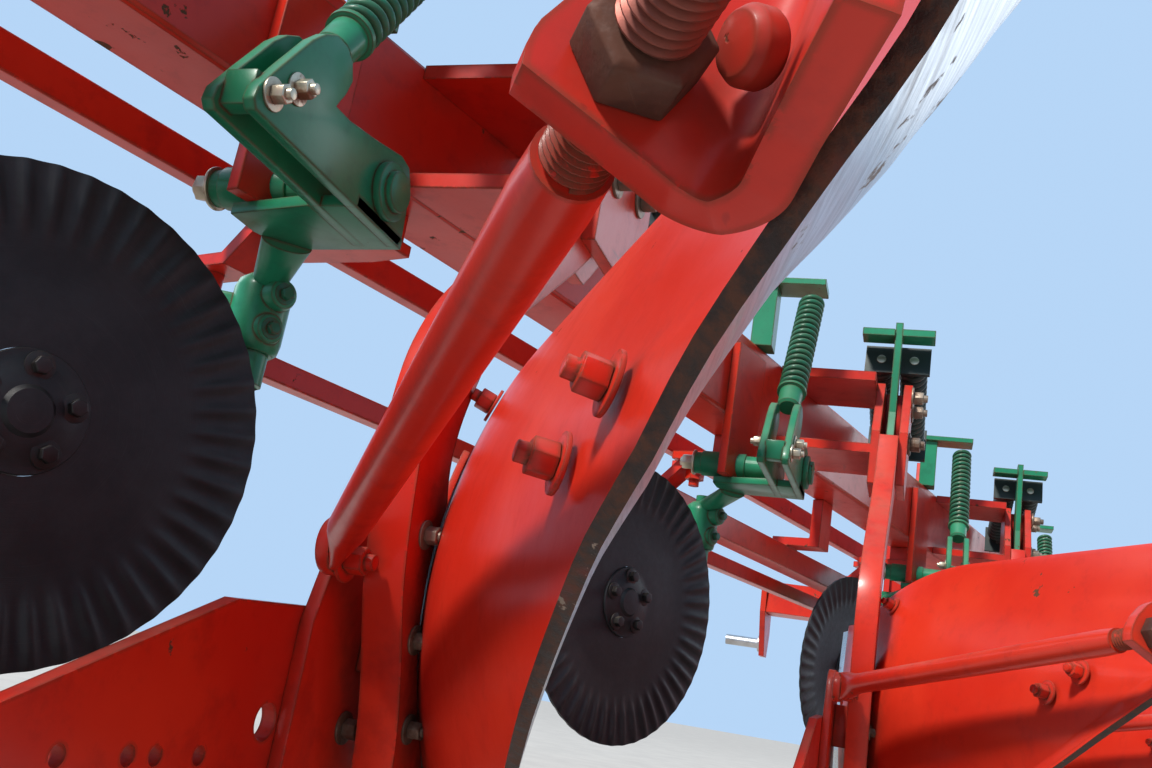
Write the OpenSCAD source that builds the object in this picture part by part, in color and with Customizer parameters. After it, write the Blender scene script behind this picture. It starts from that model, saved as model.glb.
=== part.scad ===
// A mounted plough with a spring coulter ahead of each body.
// +X is the way it travels, +Y the land side, z = 0 the ground under shares and heels.
// Body 0 is the rearmost. Each body is drawn about its own point, on the furrow wall line.

/* [Layout] */
// Number of plough bodies
bodies = 4; // [2:1:5]
// Step from one body to the next along the travel
body_pitch = 1030; // [980:5:1080]
// Furrow width, the step from one body to the next across the travel
furrow_w = 305; // [285:5:325]

/* [Beam] */
// Width of the main beam
beam_w = 100; // [80:5:120]
// Height of the main beam
beam_h = 158; // [130:2:180]
// Height of the beam's underside over the ground
beam_z = 757; // [745:1:770]
// Distance of the beam's middle to the left of the body line
beam_n = 251; // [240:1:265]

/* [Body] */
// Thickness of the moldboard
board_t = 8; // [6:0.5:11]
// Height of the moldboard's top edge
board_top = 520; // [480:5:545]
// Length of the moldboard's top line, from the shin to the tail
board_l = 950; // [900:10:970]
// Angle of the moldboard to the travel, behind its curved front
board_angle = 32; // [31:0.5:33]
// Angle of the moldboard to the travel at the shin
shin_angle = 16; // [14:0.5:20]
// Angle of the share's cutting edge to the travel
share_angle = 42; // [38:1:45]
// Height of the share's back edge
share_h = 108; // [90:2:125]
// Thickness of the share
share_t = 11; // [8:1:14]
// Width of the shin strip at the front of the moldboard
shin_w = 105; // [80:5:125]

/* [Leg] */
// Thickness of the leg across the travel
leg_t = 34; // [30:1:38]
// Height of the leg's top
leg_top = 790; // [770:5:810]
// Width of the leg fore and aft
leg_w = 128; // [110:2:140]
// Thickness of the triangular landside plate
land_t = 12; // [8:1:16]
// Thickness of the wear strip along the landside
strip_t = 12; // [8:1:16]
// Height of the wear strip
strip_h = 105; // [80:5:125]
// Length of the landside behind the body's bolts
land_l = 520; // [460:10:560]

/* [Stay] */
// Diameter of the stay rod
stay_d = 26; // [25:1:30]
// Diameter of the stay's threaded end
thread_d = 24; // [20:1:24]
// Thickness of the stay's bracket
stay_plate_t = 12; // [10:1:14]
// Width across the flats of the stay's nut
stay_nut_af = 36; // [32:1:41]

/* [Coulter] */
// Diameter of the coulter disc
disc_d = 457; // [420:5:480]
// Thickness of the coulter disc
disc_t = 5; // [4:0.5:8]
// Number of flutes in the disc's rim
disc_flutes = 48; // [36:4:56]
// Angle that the coulters have swung to
caster_swing = 25; // [15:1:30]
// Distance of the disc's axle behind the swivel
caster_l = 212; // [195:1:230]
// Diameter of the swivel's stem
stem_d = 30; // [24:1:36]
// Diameter of the disc's axle
axle_d = 24; // [20:1:28]
// Radial clearance in the running fits
run_fit = 0.06; // [0.02:0.01:0.1]
// Outer diameter of the coulter's spring
coulter_spring_d = 48; // [42:1:54]

/* [Hitch] */
// Distance between the shoulders of the lower hitch pins
hitch_span = 965; // [900:5:1000]
// Diameter of the lower hitch pins
pin_d = 36.6; // [28:0.1:37]
// Height of the lower hitch pins
pin_z = 540; // [500:5:580]
// Height of the top link's bore over the lower pins
mast_h = 685; // [610:5:720]
// Diameter of the top link's bore
top_bore_d = 32; // [25:0.1:33]
// Gap between the mast's ears
mast_gap = 60; // [50:1:80]

/* [Wheel] */
// Diameter of the depth wheel's tyre
tyre_d = 580; // [520:10:640]
// Width of the depth wheel's tyre
tyre_w = 180; // [150:5:210]

/* [Stand] */
// Side of the parking stand's square leg
stand_w = 50; // [40:1:60]
// Play round the stand's leg in its sleeve
stand_play = 0.3; // [0.2:0.1:1]

/* [Hidden] */
$fn = 48;
red = "#d2301c";
green = "#1c8a5c";
steel = "#8e9296";
dark = "#23262b";

beam_yaw = atan2(furrow_w, body_pitch);
beam_step = norm([body_pitch, furrow_w]);
beam_r = beam_n - beam_w / 2;
beam_l = beam_n + beam_w / 2;
beam_top = beam_z + beam_h;
last_x = (bodies - 1) * body_pitch;
last_y = -(bodies - 1) * furrow_w;
head_x = last_x + 1290;
hitch_y = last_y + 250;
cross_w = 140;
cross_h = 110;
cross_z = beam_z - cross_h;
cross_half = hitch_span / 2 - 30;
head_s = (head_x - beam_n * sin(beam_yaw)) / cos(beam_yaw);

// The face of a body: level lines that leave the shin on a curve and run straight behind it.
shin_x = 92;
shin_y = -22;
curl = 0.0024;
curl_z = 300;
curve_l = 280;
curve_reach = 80;
function lerp(a, b, t) = a + (b - a) * t;
function clamp01(t) = min(1, max(0, t));
function upper(z) = clamp01(z / 260);
function front_angle(z) = lerp(share_angle, shin_angle, upper(z));
function line_angle(z) = lerp(share_angle, board_angle, upper(z));
function turn(z) = max(0.001, (line_angle(z) - front_angle(z)) / curve_l);
function arc_x(s, z) = (sin(front_angle(z) + turn(z) * s) - sin(front_angle(z))) * 180 / PI / turn(z);
function arc_y(s, z) = (cos(front_angle(z)) - cos(front_angle(z) + turn(z) * s)) * 180 / PI / turn(z);
function shin_at(z) = shin_x + curve_reach * upper(z) + curl * pow(z - curl_z, 2);
function face(s, z) = let (c = min(s, curve_l), m = max(s - curve_l, 0)) [
    shin_at(z) - arc_x(c, z) - m * cos(line_angle(z)),
    shin_y - arc_y(c, z) - m * sin(line_angle(z)),
    z];
function unit(v) = v / norm(v);
function back_way(s, z) = unit(cross(face(s, z + 2) - face(s, z - 2), face(s - 2, z) - face(s + 2, z)));
function behind(s, z, d) = face(s, z) + d * back_way(s, z);

// A closed shell over a grid of (s, z) places: nu steps along s, nv steps up, from depth d0 to d1.
module shell(sz, nu, nv, d0, d1) {
    w = nu + 1;
    n = w * (nv + 1);
    pts = concat(
        [for (p = sz) behind(p[0], p[1], d0)],
        [for (p = sz) behind(p[0], p[1], d1)]);
    grid = [for (j = [0:nv - 1], i = [0:nu - 1]) j * w + i];
    rim = concat(
        [for (i = [0:nu - 1]) i],
        [for (j = [0:nv - 1]) j * w + nu],
        [for (i = [nu:-1:1]) nv * w + i],
        [for (j = [nv:-1:1]) j * w]);
    m = len(rim);
    polyhedron(points = pts, faces = concat(
        [for (q = grid) [q, q + 1, q + w]],
        [for (q = grid) [q + 1, q + w + 1, q + w]],
        [for (q = grid) [n + q, n + q + w, n + q + 1]],
        [for (q = grid) [n + q + 1, n + q + w, n + q + w + 1]],
        [for (i = [0:m - 1]) [rim[i], n + rim[i], rim[(i + 1) % m]]],
        [for (i = [0:m - 1]) [rim[(i + 1) % m], n + rim[i], n + rim[(i + 1) % m]]]));
}

// Outline of the moldboard: a tail edge that leans back, a top edge that drops to the shin.
joint_gap = 0.5;
corner_drop = 95;
tail_foot = 290;
function tail_s(b) = lerp(tail_foot, board_l, pow(sin(90 * b), 1.15));
function top_z(a) = board_top - corner_drop * pow(1 - clamp01(a * 2.6), 2);
function board_s(a, b) = lerp(shin_w + joint_gap, tail_s(b), a);
function board_z(a, b) = lerp(share_h + joint_gap, top_z(a), b);
board_nu = 16;
board_nv = 10;

module at_body(k) {
    translate([k * body_pitch, -k * furrow_w, 0]) children();
}

module each_body() {
    for (k = [0:bodies - 1]) at_body(k) children();
}

// Along the beam: x runs forward along it, y to the left of the body line.
module along_beam() {
    rotate([0, 0, -beam_yaw]) children();
}

// A box from its two corners.
module box(a, b) {
    translate(a) cube(b - a);
}

// An outline in the x-z plane made thick from y0 to y1.
module plate_xz(y0, y1) {
    translate([0, y1, 0]) rotate([90, 0, 0]) linear_extrude(y1 - y0) children();
}

module main_beam() {
    color(red) along_beam() box([60, beam_r, beam_z], [head_s + 60, beam_l, beam_top]);
}

// The long brace under the beam, narrower at its rear end.
brace_h = 50;
brace_z = cross_z - brace_h;
brace_rear_s = 1.62 * beam_step;

module brace_beam() {
    color(red) along_beam() translate([0, 0, brace_z]) linear_extrude(brace_h)
        polygon([[brace_rear_s, 352], [brace_rear_s, 392], [head_s + 40, 424], [head_s + 40, 352]]);
    color(red) along_beam() for (s = [brace_rear_s + 20, brace_rear_s + beam_step - 40])
        box([s, beam_l - 25, brace_z + brace_h], [s + 60, beam_l, beam_z]);
    color(red) along_beam() for (s = [brace_rear_s + 20, brace_rear_s + beam_step - 40])
        box([s, beam_l, brace_z + brace_h], [s + 60, 390, brace_z + brace_h + 20]);
}

// Flat hangers under the beam, one behind each leg, carry the tie bar.
hanger_t = 15;
hanger_s = [-170, -20];
spacer_h = 35;
hanger_z = beam_z - spacer_h - hanger_t;
tie_n = 391;
tie_w = 24;
tie_h = 40;
tie_z = hanger_z + hanger_t;
low_tie_n = 441;
low_tie_w = 28;
low_tie_h = 30;
low_tie_z = 556;
pivot_s = -133;
pivot_n = 340;
arm_z = 655;

module hangers() {
    color(red) each_body() along_beam() translate([leg_mid_x, 0, 0]) {
        translate([0, 0, hanger_z]) linear_extrude(hanger_t) polygon([
            [hanger_s[0], 240], [hanger_s[1], 240], [hanger_s[1], 300], [-40, tie_n + 25], [-95, tie_n + 25],
            [-110, 375], [hanger_s[0], 375]]);
        box([hanger_s[0] + 10, 245, hanger_z + hanger_t], [hanger_s[1] - 10, 295, beam_z]);
    }
}

module tie_bars() {
    color(red) along_beam()
        box([-20, tie_n - tie_w / 2, tie_z], [head_s - 135, tie_n + tie_w / 2, tie_z + tie_h]);
    color(red) along_beam()
        box([-20, low_tie_n - low_tie_w / 2, low_tie_z], [head_s - 300, low_tie_n + low_tie_w / 2, low_tie_z + low_tie_h]);
}

// Bent arms under the hangers, each with an upright bolt and a pin down to the lower bar.
module crank_arms() {
    color(red) each_body() along_beam() translate([leg_mid_x + pivot_s, 0, 0]) {
        translate([25, 0, 0]) rotate([0, -90, 0]) linear_extrude(50) polygon([
            [hanger_z, 312], [hanger_z, 366], [arm_z + 15, 405], [arm_z + 15, low_tie_n + 40],
            [arm_z, low_tie_n + 40], [arm_z, 397], [hanger_z - 15, 358], [hanger_z - 15, 312]]);
        translate([0, low_tie_n, low_tie_z + low_tie_h]) cylinder(d = 22, h = arm_z - low_tie_z - low_tie_h);
    }
    color(red) each_body() along_beam() translate([leg_mid_x + pivot_s, pivot_n, hanger_z - 15]) {
        translate([0, 0, -18]) cylinder(d = 36, h = 18, $fn = 6);
        translate([0, 0, -30]) cylinder(d = 20, h = 12);
    }
}

module cross_tube() {
    color(red) box(
        [head_x - cross_w / 2, hitch_y - cross_half, cross_z],
        [head_x + cross_w / 2, hitch_y + cross_half, beam_z]);
}

plate_t = 20;

module hitch_plates() {
    color(red) for (side = [-1, 1]) translate([0, hitch_y, 0]) mirror([0, side < 0 ? 1 : 0, 0])
        plate_xz(cross_half, cross_half + plate_t) polygon([
            [head_x - 90, beam_z], [head_x + 90, beam_z], [head_x + 120, pin_z + 40],
            [head_x + 95, pin_z - 45], [head_x + 25, pin_z - 45], [head_x - 70, cross_z]]);
}

module hitch_pins() {
    color(steel) for (side = [-1, 1]) translate([head_x + 60, hitch_y, pin_z]) mirror([0, side < 0 ? 1 : 0, 0])
        translate([0, cross_half + plate_t, 0]) rotate([-90, 0, 0]) {
            cylinder(d = pin_d * 1.6, h = 10);
            cylinder(d = pin_d, h = 130);
        }
}

mast_top = pin_z + mast_h;

module mast() {
    color(red) for (side = [-1, 1]) translate([0, hitch_y, 0]) mirror([0, side < 0 ? 1 : 0, 0])
        plate_xz(mast_gap / 2, mast_gap / 2 + plate_t) difference() {
            polygon([
                [head_x - 65, beam_z], [head_x + 65, beam_z], [head_x + 95, mast_top - 40],
                [head_x + 95, mast_top + 45], [head_x + 5, mast_top + 45], [head_x - 30, mast_top - 60]]);
            translate([head_x + 50, mast_top]) circle(d = top_bore_d);
        }
    color(red) box(
        [head_x - 40, hitch_y - mast_gap / 2, beam_z + 20],
        [head_x + 40, hitch_y + mast_gap / 2, beam_z + 220]);
}

// Struts from the mast's top back and down to the beam.
module mast_strut() {
    a = [head_x - 30, hitch_y, mast_top - 90];
    foot_s = head_s - 760;
    b = [foot_s * cos(beam_yaw) + beam_n * sin(beam_yaw), -foot_s * sin(beam_yaw) + beam_n * cos(beam_yaw), beam_top];
    d = b - a;
    color(red) difference() {
        translate(a) rotate([0, 90 - atan2(d[2], norm([d[0], d[1]])), atan2(d[1], d[0])])
        translate([-30, -30, 0]) cube([60, 60, norm(d)]);
        along_beam() box([60, beam_r, beam_z], [head_s + 60, beam_l, beam_top]);
        mast();
    }
}

// Places on the leg, in the travel plane through its middle.
leg_y = -63;
leg_mid_x = 259;

module leg_outline() {
    polygon([
        [110, 152], [200, 170], [172, 213], [97, 266], [50, 316], [20, 352], [4, 390], [4, 424], [16, 462],
        [42, 512], [92, 566], [162, 622], [236, 682], [290, 738], [leg_mid_x + leg_w / 2, leg_top],
        [leg_mid_x - leg_w / 2, leg_top], [150, 720], [92, 654], [20, 592], [-36, 544], [-72, 492],
        [-82, 450], [-74, 410], [-54, 350], [-24, 294], [44, 221], [96, 168]]);
}

// The room that the moldboard and the frog's flange take in front of the leg.
seat_gap = 0.8;
flange_t = 8;
face_room_top = 460;

module face_room() {
    d = board_t + flange_t + 2 * seat_gap;
    translate([0, 0, 100]) linear_extrude(face_room_top - 100) polygon(concat(
        [for (s = [0:20:320]) let (p = behind(s, curl_z, d)) [p[0], p[1]]],
        [[-110, -700], [700, -700], [700, shin_y + d]]));
}

module legs() {
    color(red) each_body() difference() {
        plate_xz(leg_y - leg_t / 2, leg_y + leg_t / 2) leg_outline();
        face_room();
    }
}

bracket_t = 18;
cheek_t = 16;
bracket_x0 = 210;
bracket_x1 = 400;

// The bracket that carries a leg: two flat plates from the beam's side and a cheek on each side of the leg.
module leg_brackets() {
    y0 = leg_y + leg_t / 2 + cheek_t;
    color(red) each_body() for (z = [beam_z, beam_top - bracket_t])
        translate([0, 0, z]) linear_extrude(bracket_t) intersection() {
            translate([bracket_x0, y0]) square([bracket_x1 - bracket_x0, 400]);
            rotate(-beam_yaw) translate([-200, -400]) square([900, 400 + beam_r]);
        }
    color(red) each_body() {
        for (y = [leg_y - leg_t / 2 - cheek_t, leg_y + leg_t / 2]) plate_xz(y, y + cheek_t) polygon([
            [bracket_x0, 700], [340, 700], [bracket_x1, beam_z], [bracket_x1, beam_top],
            [bracket_x0 + 70, beam_top], [bracket_x0, 800]]);
        plate_xz(leg_y - leg_t / 2, leg_y + leg_t / 2) polygon([
            [350, 760], [bracket_x1, 760], [bracket_x1, beam_top], [350, beam_top]]);
    }
}

// The frog: an upright plate beside the leg and the seat behind the share.
frog_t = 12;

module frogs() {
    y1 = -land_t;
    color(red) each_body() plate_xz(y1 - frog_t, y1) polygon([
        [-60, strip_h + 5], [-60, 260], [-30, 345], [30, 345], [58, 330], [85, 230], [140, 120], [140, 45], [40, 45]]);
    color(red) each_body() box([20, leg_y + leg_t / 2, 232], [70, y1 - frog_t, 296]);
    flange = [for (j = [0:8], i = [0:6]) [lerp(60, 215, i / 6), lerp(190, 430, j / 8)]];
    color(red) each_body() shell(flange, 6, 8, board_t + 2 * seat_gap, board_t + flange_t);
    sz = [for (j = [0:2], i = [0:2]) [lerp(4, 150, i / 2), lerp(48, share_h - 2, j / 2)]];
    color(red) each_body() shell(sz, 2, 2, share_t + seat_gap, share_t + 20);
}

module moldboards() {
    sz = [for (j = [0:board_nv], i = [0:board_nu])
        let (a = i / board_nu, b = j / board_nv) [board_s(a, b), board_z(a, b)]];
    color(red) each_body() shell(sz, board_nu, board_nv, 0, board_t);
}

shin_nv = 8;

module shins() {
    sz = [for (j = [0:shin_nv], i = [0:3])
        [lerp(0, shin_w, i / 3), lerp(share_h + joint_gap, top_z(0), j / shin_nv)]];
    color(steel) each_body() shell(sz, 3, shin_nv, 0, board_t);
}

share_l = 418;

module shares() {
    sz = [for (j = [0:3], i = [0:8]) [lerp(0, share_l - j * 8, i / 8), lerp(share_t, share_h, j / 3)]];
    color(steel) each_body() shell(sz, 8, 3, 0, share_t);
}

module landsides() {
    color(red) each_body() plate_xz(-land_t, 0) difference() {
        polygon([[-land_l, strip_h], [-20, strip_h], [-20, 275], [-142, 267], [-land_l, 100 + strip_h / 10]]);
        for (x = [-275, -216, -190, -145]) translate([x, 165]) circle(d = 13);
        translate([-75, 188]) circle(d = 27);
    }
}

module landside_strips() {
    color(steel) each_body() box([-land_l, -strip_t, 0], [150, 0, strip_h]);
}

// The stay from the leg to the moldboard's tail.
stay_a = [-52, -30.3, 315];
stay_b = [-573, -375, 397];
stay_v = stay_b - stay_a;
stay_len = norm(stay_v);
stay_az = atan2(stay_v[1], stay_v[0]);
stay_el = atan2(stay_v[2], norm([stay_v[0], stay_v[1]]));
thread_l = 100;
thread_out = 48;
stay_nut_h = 20;
bracket_lean = 14.4;

module at_stay() {
    translate(stay_a) rotate([0, -stay_el, stay_az]) children();
}

module stays() {
    color(red) each_body() at_stay() {
        translate([22, 0, 0]) rotate([0, 90, 0]) cylinder(d = stay_d, h = stay_len - thread_l - 22);
        translate([22, 0, 0]) rotate([0, 90, 0]) cylinder(d = thread_d, h = stay_len + thread_out - 22);
        box([2, -6, -13], [40, 6, 13]);
    }
    color(red) each_body() translate([stay_a[0], stay_a[1] - 6, stay_a[2]]) rotate([-90, 0, 0]) cylinder(d = 44, h = 12);
}

// A thick plate bent to an L: the stay passes one half, and the other lies on the moldboard's back.
module stay_brackets() {
    x0 = stay_len - stay_nut_h / 2 - stay_plate_t;
    color(red) each_body() at_stay() difference() {
        union() {
            translate([x0, 0, 0]) rotate([90, 0, 90]) linear_extrude(stay_plate_t) {
                translate([2, 6]) circle(r = 30);
                polygon([[2, -24], [30, -29], [54, 66], [20, 60], [2, 36]]);
            }
            translate([x0, 31, -26]) rotate([-bracket_lean, 0, 0]) box([0, 0, 0], [82, stay_plate_t, 96]);
        }
        rotate([0, 90, 0]) cylinder(d = thread_d + 2 * run_fit, h = stay_len + 200);
    }
}

module stay_nuts() {
    color("#6b4f3c") each_body() at_stay() translate([stay_len - stay_nut_h / 2, 0, 0]) rotate([0, 90, 0]) difference() {
        cylinder(d = stay_nut_af / cos(30), h = stay_nut_h, $fn = 6);
        translate([0, 0, -1]) cylinder(d = thread_d + 2 * run_fit, h = stay_nut_h + 2);
    }
}

// The post on the leg, with its crossbar, and the pair of springs that run forward from it.
post_x = 272;
post_top = 1017;

module reset_posts() {
    color(green) each_body() {
        plate_xz(leg_y - 7, leg_y + 7) polygon([
            [post_x - 40, leg_top], [post_x + 40, leg_top], [post_x + 30, leg_top + 60],
            [post_x + 18, post_top + 16], [post_x - 18, post_top + 16], [post_x - 22, leg_top + 60]]);
        for (side = [-1, 1]) translate([0, leg_y, 0]) mirror([0, side < 0 ? 1 : 0, 0])
            box([post_x - bar_w / 2, 7, post_top - bar_h], [post_x + bar_w / 2, bar_half, post_top]);
    }
}

reset_spring_d = 54;
reset_gap = 62;
reset_len = 330;
reset_el = 12;
bar_half = 68;
bar_h = 14;
bar_w = 50;

module coil_body(d, len, turns) {
    pitch = len / turns;
    wire = pitch * 0.62;
    rotate_extrude() polygon(concat(
        [[d / 2 - 1.4 * wire, 0]],
        [for (i = [0:turns * 4 - 1]) [d / 2 - (i % 4 == 0 ? wire * 0.45 : (i % 2 == 0 ? 0 : wire * 0.12)), i * pitch / 4]],
        [[d / 2 - wire * 0.45, len], [d / 2 - 1.4 * wire, len]]));
}

module at_reset() {
    translate([post_x + bar_w / 2 + 18, leg_y, post_top - bar_h - reset_spring_d / 2 - 4])
        rotate([0, 90 + reset_el, 0]) children();
}

module reset_springs() {
    color(dark) each_body() at_reset() for (side = [-1, 1])
        translate([0, side * reset_gap / 2, 0]) coil_body(reset_spring_d, reset_len, 11);
}

// The springs' rear plate is under the crossbar; a bar from the bracket carries their front plate.
module reset_plates() {
    color(dark) each_body() {
        at_reset() translate([0, 0, -8]) box([-30, -bar_half + 6, 0], [30, bar_half - 6, 8]);
        at_reset() box([-26, -bar_half + 6, reset_len], [50, bar_half - 6, reset_len + 8]);
        translate([0, leg_y, 0])
            box([bracket_x1, -8, 850], [post_x + bar_w / 2 + 12 + reset_len * cos(reset_el), 8, 868]);
    }
}

// The coulter's mounting: a pair of plates, a plate under them, a tube across and a hanger on the beam.
plate_y = [-238, -200];
ear_t = 12;
tube_x = 1085;
tube_z = 672;
tube_d = 38;

module coulter_plates() {
    color(green) each_body() {
        for (y = plate_y) plate_xz(y, y + ear_t) polygon([
            [888, 672], [905, 646], [1165, 646], [1186, 660], [1120, 730], [1040, 775], [975, 775]]);
        translate([0, 0, 634]) linear_extrude(12) polygon([
            [900, plate_y[0]], [1168, plate_y[0]], [1240, -30], [1200, -8], [1060, -50], [900, plate_y[1] + ear_t]]);
        translate(spring_foot) rotate([0, spring_lean, 0]) translate([0, 0, -40]) cylinder(d = 40, h = 40);
    }
}

module coulter_tubes() {
    color(green) each_body() translate([tube_x, plate_y[1] + ear_t, tube_z]) rotate([-90, 0, 0])
        cylinder(d = tube_d, h = 140);
}

hanger_plate_t = 16;

module coulter_hangers() {
    color(green) each_body() difference() {
        along_beam() box([1020, beam_r - hanger_plate_t, 646], [1130, beam_r, beam_top - 30]);
        translate([tube_x, plate_y[0], tube_z]) rotate([-90, 0, 0]) cylinder(d = tube_d + 0.4, h = 300);
    }
}

spring_foot = [1004, -213, 792];
spring_l = 265;
spring_lean = 33;
spring_head = spring_foot + spring_l * [sin(spring_lean), 0, cos(spring_lean)];

module coulter_springs() {
    color(green) each_body() translate(spring_foot) rotate([0, spring_lean, 0])
        coil_body(coulter_spring_d, spring_l, 17);
}

// A hook from the beam's top over to the spring's head.
module coulter_hooks() {
    x = spring_head[0];
    color(green) each_body() {
        box([x - 20, -150, beam_top], [x + 30, -110, spring_head[2] + 22]);
        box([x - 30, spring_head[1] - 25, spring_head[2] + 22], [x + 40, -110, spring_head[2] + 34]);
    }
}

clamp_p = [1199, -48, 584];

module coulter_clamps() {
    color(green) each_body() translate(clamp_p) difference() {
        union() {
            translate([0, 0, -49]) cylinder(d = 62, h = 85);
            translate([0, 0, 36]) cylinder(d = 28, h = 14);
        }
        translate([0, 0, -60]) cylinder(d = stem_d + 2 * run_fit, h = 80);
    }
}

module at_caster(k) {
    at_body(k) translate([clamp_p[0], clamp_p[1], 0]) rotate([0, 0, -caster_swing]) children();
}

disc_y = -21;
disc_z = 404;

module coulter_arm(k) {
    color(green) at_caster(k) {
        translate([0, 0, 500]) cylinder(d = stem_d, h = 100);
        translate([0, 0, 500]) cylinder(d = 42, h = 34.7);
        plate_xz(-2, 14) polygon([
            [-20, 530], [20, 530], [20, 500], [-40, 455], [-caster_l + 30, disc_z + 18],
            [-caster_l + 30, disc_z - 30], [-caster_l - 30, disc_z - 30], [-caster_l - 30, disc_z + 30],
            [-caster_l, disc_z + 45], [-60, 500]]);
        translate([-caster_l, -32, disc_z]) rotate([-90, 0, 0]) cylinder(d = axle_d, h = 40);
    }
}

module disc_shape() {
    r = disc_d / 2;
    n = disc_flutes * 2;
    rad = [58, 0.66 * r, 0.72 * r, 0.93 * r, r];
    amp = [0, 0, 3.2, 3.2, 0.4];
    dish = [0, 0, 1, 6, 8];
    ring = [for (side = [0, 1]) for (j = [0:4]) for (i = [0:n - 1])
        let (a = 360 * i / n, t = side * (j == 4 ? 0.35 : 1) * disc_t)
        [rad[j] * cos(a), rad[j] * sin(a), dish[j] + t + (i % 2 == 0 ? amp[j] : -amp[j])]];
    h = 5 * n;
    polyhedron(points = ring, faces = concat(
        [for (j = [0:3], i = [0:n - 1]) [j * n + i, (j + 1) * n + i, j * n + (i + 1) % n]],
        [for (j = [0:3], i = [0:n - 1]) [(j + 1) * n + i, (j + 1) * n + (i + 1) % n, j * n + (i + 1) % n]],
        [for (j = [0:3], i = [0:n - 1]) [h + j * n + i, h + j * n + (i + 1) % n, h + (j + 1) * n + i]],
        [for (j = [0:3], i = [0:n - 1]) [h + (j + 1) * n + i, h + j * n + (i + 1) % n, h + (j + 1) * n + (i + 1) % n]],
        [for (i = [0:n - 1]) [4 * n + i, h + 4 * n + i, 4 * n + (i + 1) % n]],
        [for (i = [0:n - 1]) [4 * n + (i + 1) % n, h + 4 * n + i, h + 4 * n + (i + 1) % n]],
        [for (i = [0:n - 1]) [i, (i + 1) % n, h + i]],
        [for (i = [0:n - 1]) [(i + 1) % n, h + (i + 1) % n, h + i]]));
}

module coulter_disc(k) {
    color(dark) at_caster(k) translate([-caster_l, disc_y, disc_z]) rotate([90, 0, 0]) disc_shape();
}

module coulter_hub(k) {
    color(dark) at_caster(k) translate([-caster_l, disc_y, disc_z]) rotate([90, 0, 0]) difference() {
        union() {
            translate([0, 0, -15]) cylinder(d = 80, h = 20);
            translate([0, 0, -4]) cylinder(r = 57.7, h = 12);
        }
        translate([0, 0, -20]) cylinder(d = axle_d + 2 * run_fit, h = 40);
    }
}

// The depth wheel stands out from the beam's land side, ahead of its rear end.
wheel_s = 130;
wheel_out = 620;
spindle_x = wheel_s * cos(beam_yaw) + wheel_out * sin(beam_yaw);
spindle_y = -wheel_s * sin(beam_yaw) + wheel_out * cos(beam_yaw);
wheel_x = spindle_x;
wheel_y = spindle_y + tyre_w / 2 + 60;
hub_d = 50;

module wheel_arm() {
    color(red) along_beam() difference() {
        union() {
            box([wheel_s - 40, beam_l, beam_z + 30], [wheel_s + 40, wheel_out - 50, beam_z + 110]);
            box([wheel_s - 50, wheel_out - 50, beam_z - 20], [wheel_s + 50, wheel_out + 50, beam_z + 140]);
        }
        translate([wheel_s, wheel_out, beam_z - 30]) cylinder(d = 50.4, h = 200);
    }
}

module wheel_spindle() {
    color(red) {
        translate([spindle_x, spindle_y, tyre_d / 2 - 35]) cylinder(d = 50, h = beam_z + 220 - tyre_d / 2 + 35);
        translate([spindle_x, spindle_y, tyre_d / 2]) rotate([-90, 0, 0])
            cylinder(d = hub_d, h = wheel_y - spindle_y + 60);
    }
}

module wheel_rim() {
    color("#d9d9d4") translate([wheel_x, wheel_y, tyre_d / 2]) rotate([-90, 0, 0]) difference() {
        union() {
            difference() {
                cylinder(d = tyre_d - 200.6, h = tyre_w - 40, center = true);
                translate([0, 0, 20]) cylinder(d = tyre_d - 216, h = tyre_w);
                translate([0, 0, -20 - tyre_w]) cylinder(d = tyre_d - 216, h = tyre_w);
            }
            cylinder(d = 90, h = 90, center = true);
        }
        cylinder(d = hub_d + 2 * run_fit, h = tyre_w + 2, center = true);
    }
}

module wheel_tyre() {
    color(dark) translate([wheel_x, wheel_y, tyre_d / 2]) rotate([-90, 0, 0]) rotate_extrude() polygon([
        [tyre_d / 2 - 100, -tyre_w / 2 + 22], [tyre_d / 2 - 80, -tyre_w / 2], [tyre_d / 2 - 25, -tyre_w / 2 + 4],
        [tyre_d / 2, -tyre_w / 2 + 30], [tyre_d / 2, tyre_w / 2 - 30], [tyre_d / 2 - 25, tyre_w / 2 - 4],
        [tyre_d / 2 - 80, tyre_w / 2], [tyre_d / 2 - 100, tyre_w / 2 - 22]]);
}

stand_x = head_x + cross_w / 2 + stand_w / 2 + stand_play + 9;
stand_y = hitch_y - 330;
stand_foot = 10;
foot_half = 80;

module stand_sleeve() {
    w = stand_w / 2 + stand_play;
    color(red) translate([stand_x, stand_y, 0]) difference() {
        box([-w - 9, -w - 9, cross_z - 20], [w + 9, w + 9, beam_z]);
        box([-w, -w, cross_z - 40], [w, w, beam_z + 20]);
    }
}

module stand_leg() {
    color("#7d8287") translate([stand_x, stand_y, 0]) {
        box([-stand_w / 2, -stand_w / 2, stand_foot], [stand_w / 2, stand_w / 2, beam_z + 60]);
        box([-foot_half, -foot_half, 0], [foot_half, foot_half, stand_foot]);
    }
}

// The part's origin lies on the ground under the middle of its extent.
stay_dx = stay_v[0] / stay_len;
rear_x = stay_a[0] + (stay_len + thread_out) * stay_dx - thread_d / 2 * sqrt(1 - stay_dx * stay_dx);
org_x = (stand_x + foot_half + rear_x) / 2;
org_y = (wheel_y + tyre_w / 2 + last_y + face(board_l, board_top)[1]) / 2;

module placed() {
    translate([-org_x, -org_y, 0]) children();
}

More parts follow.
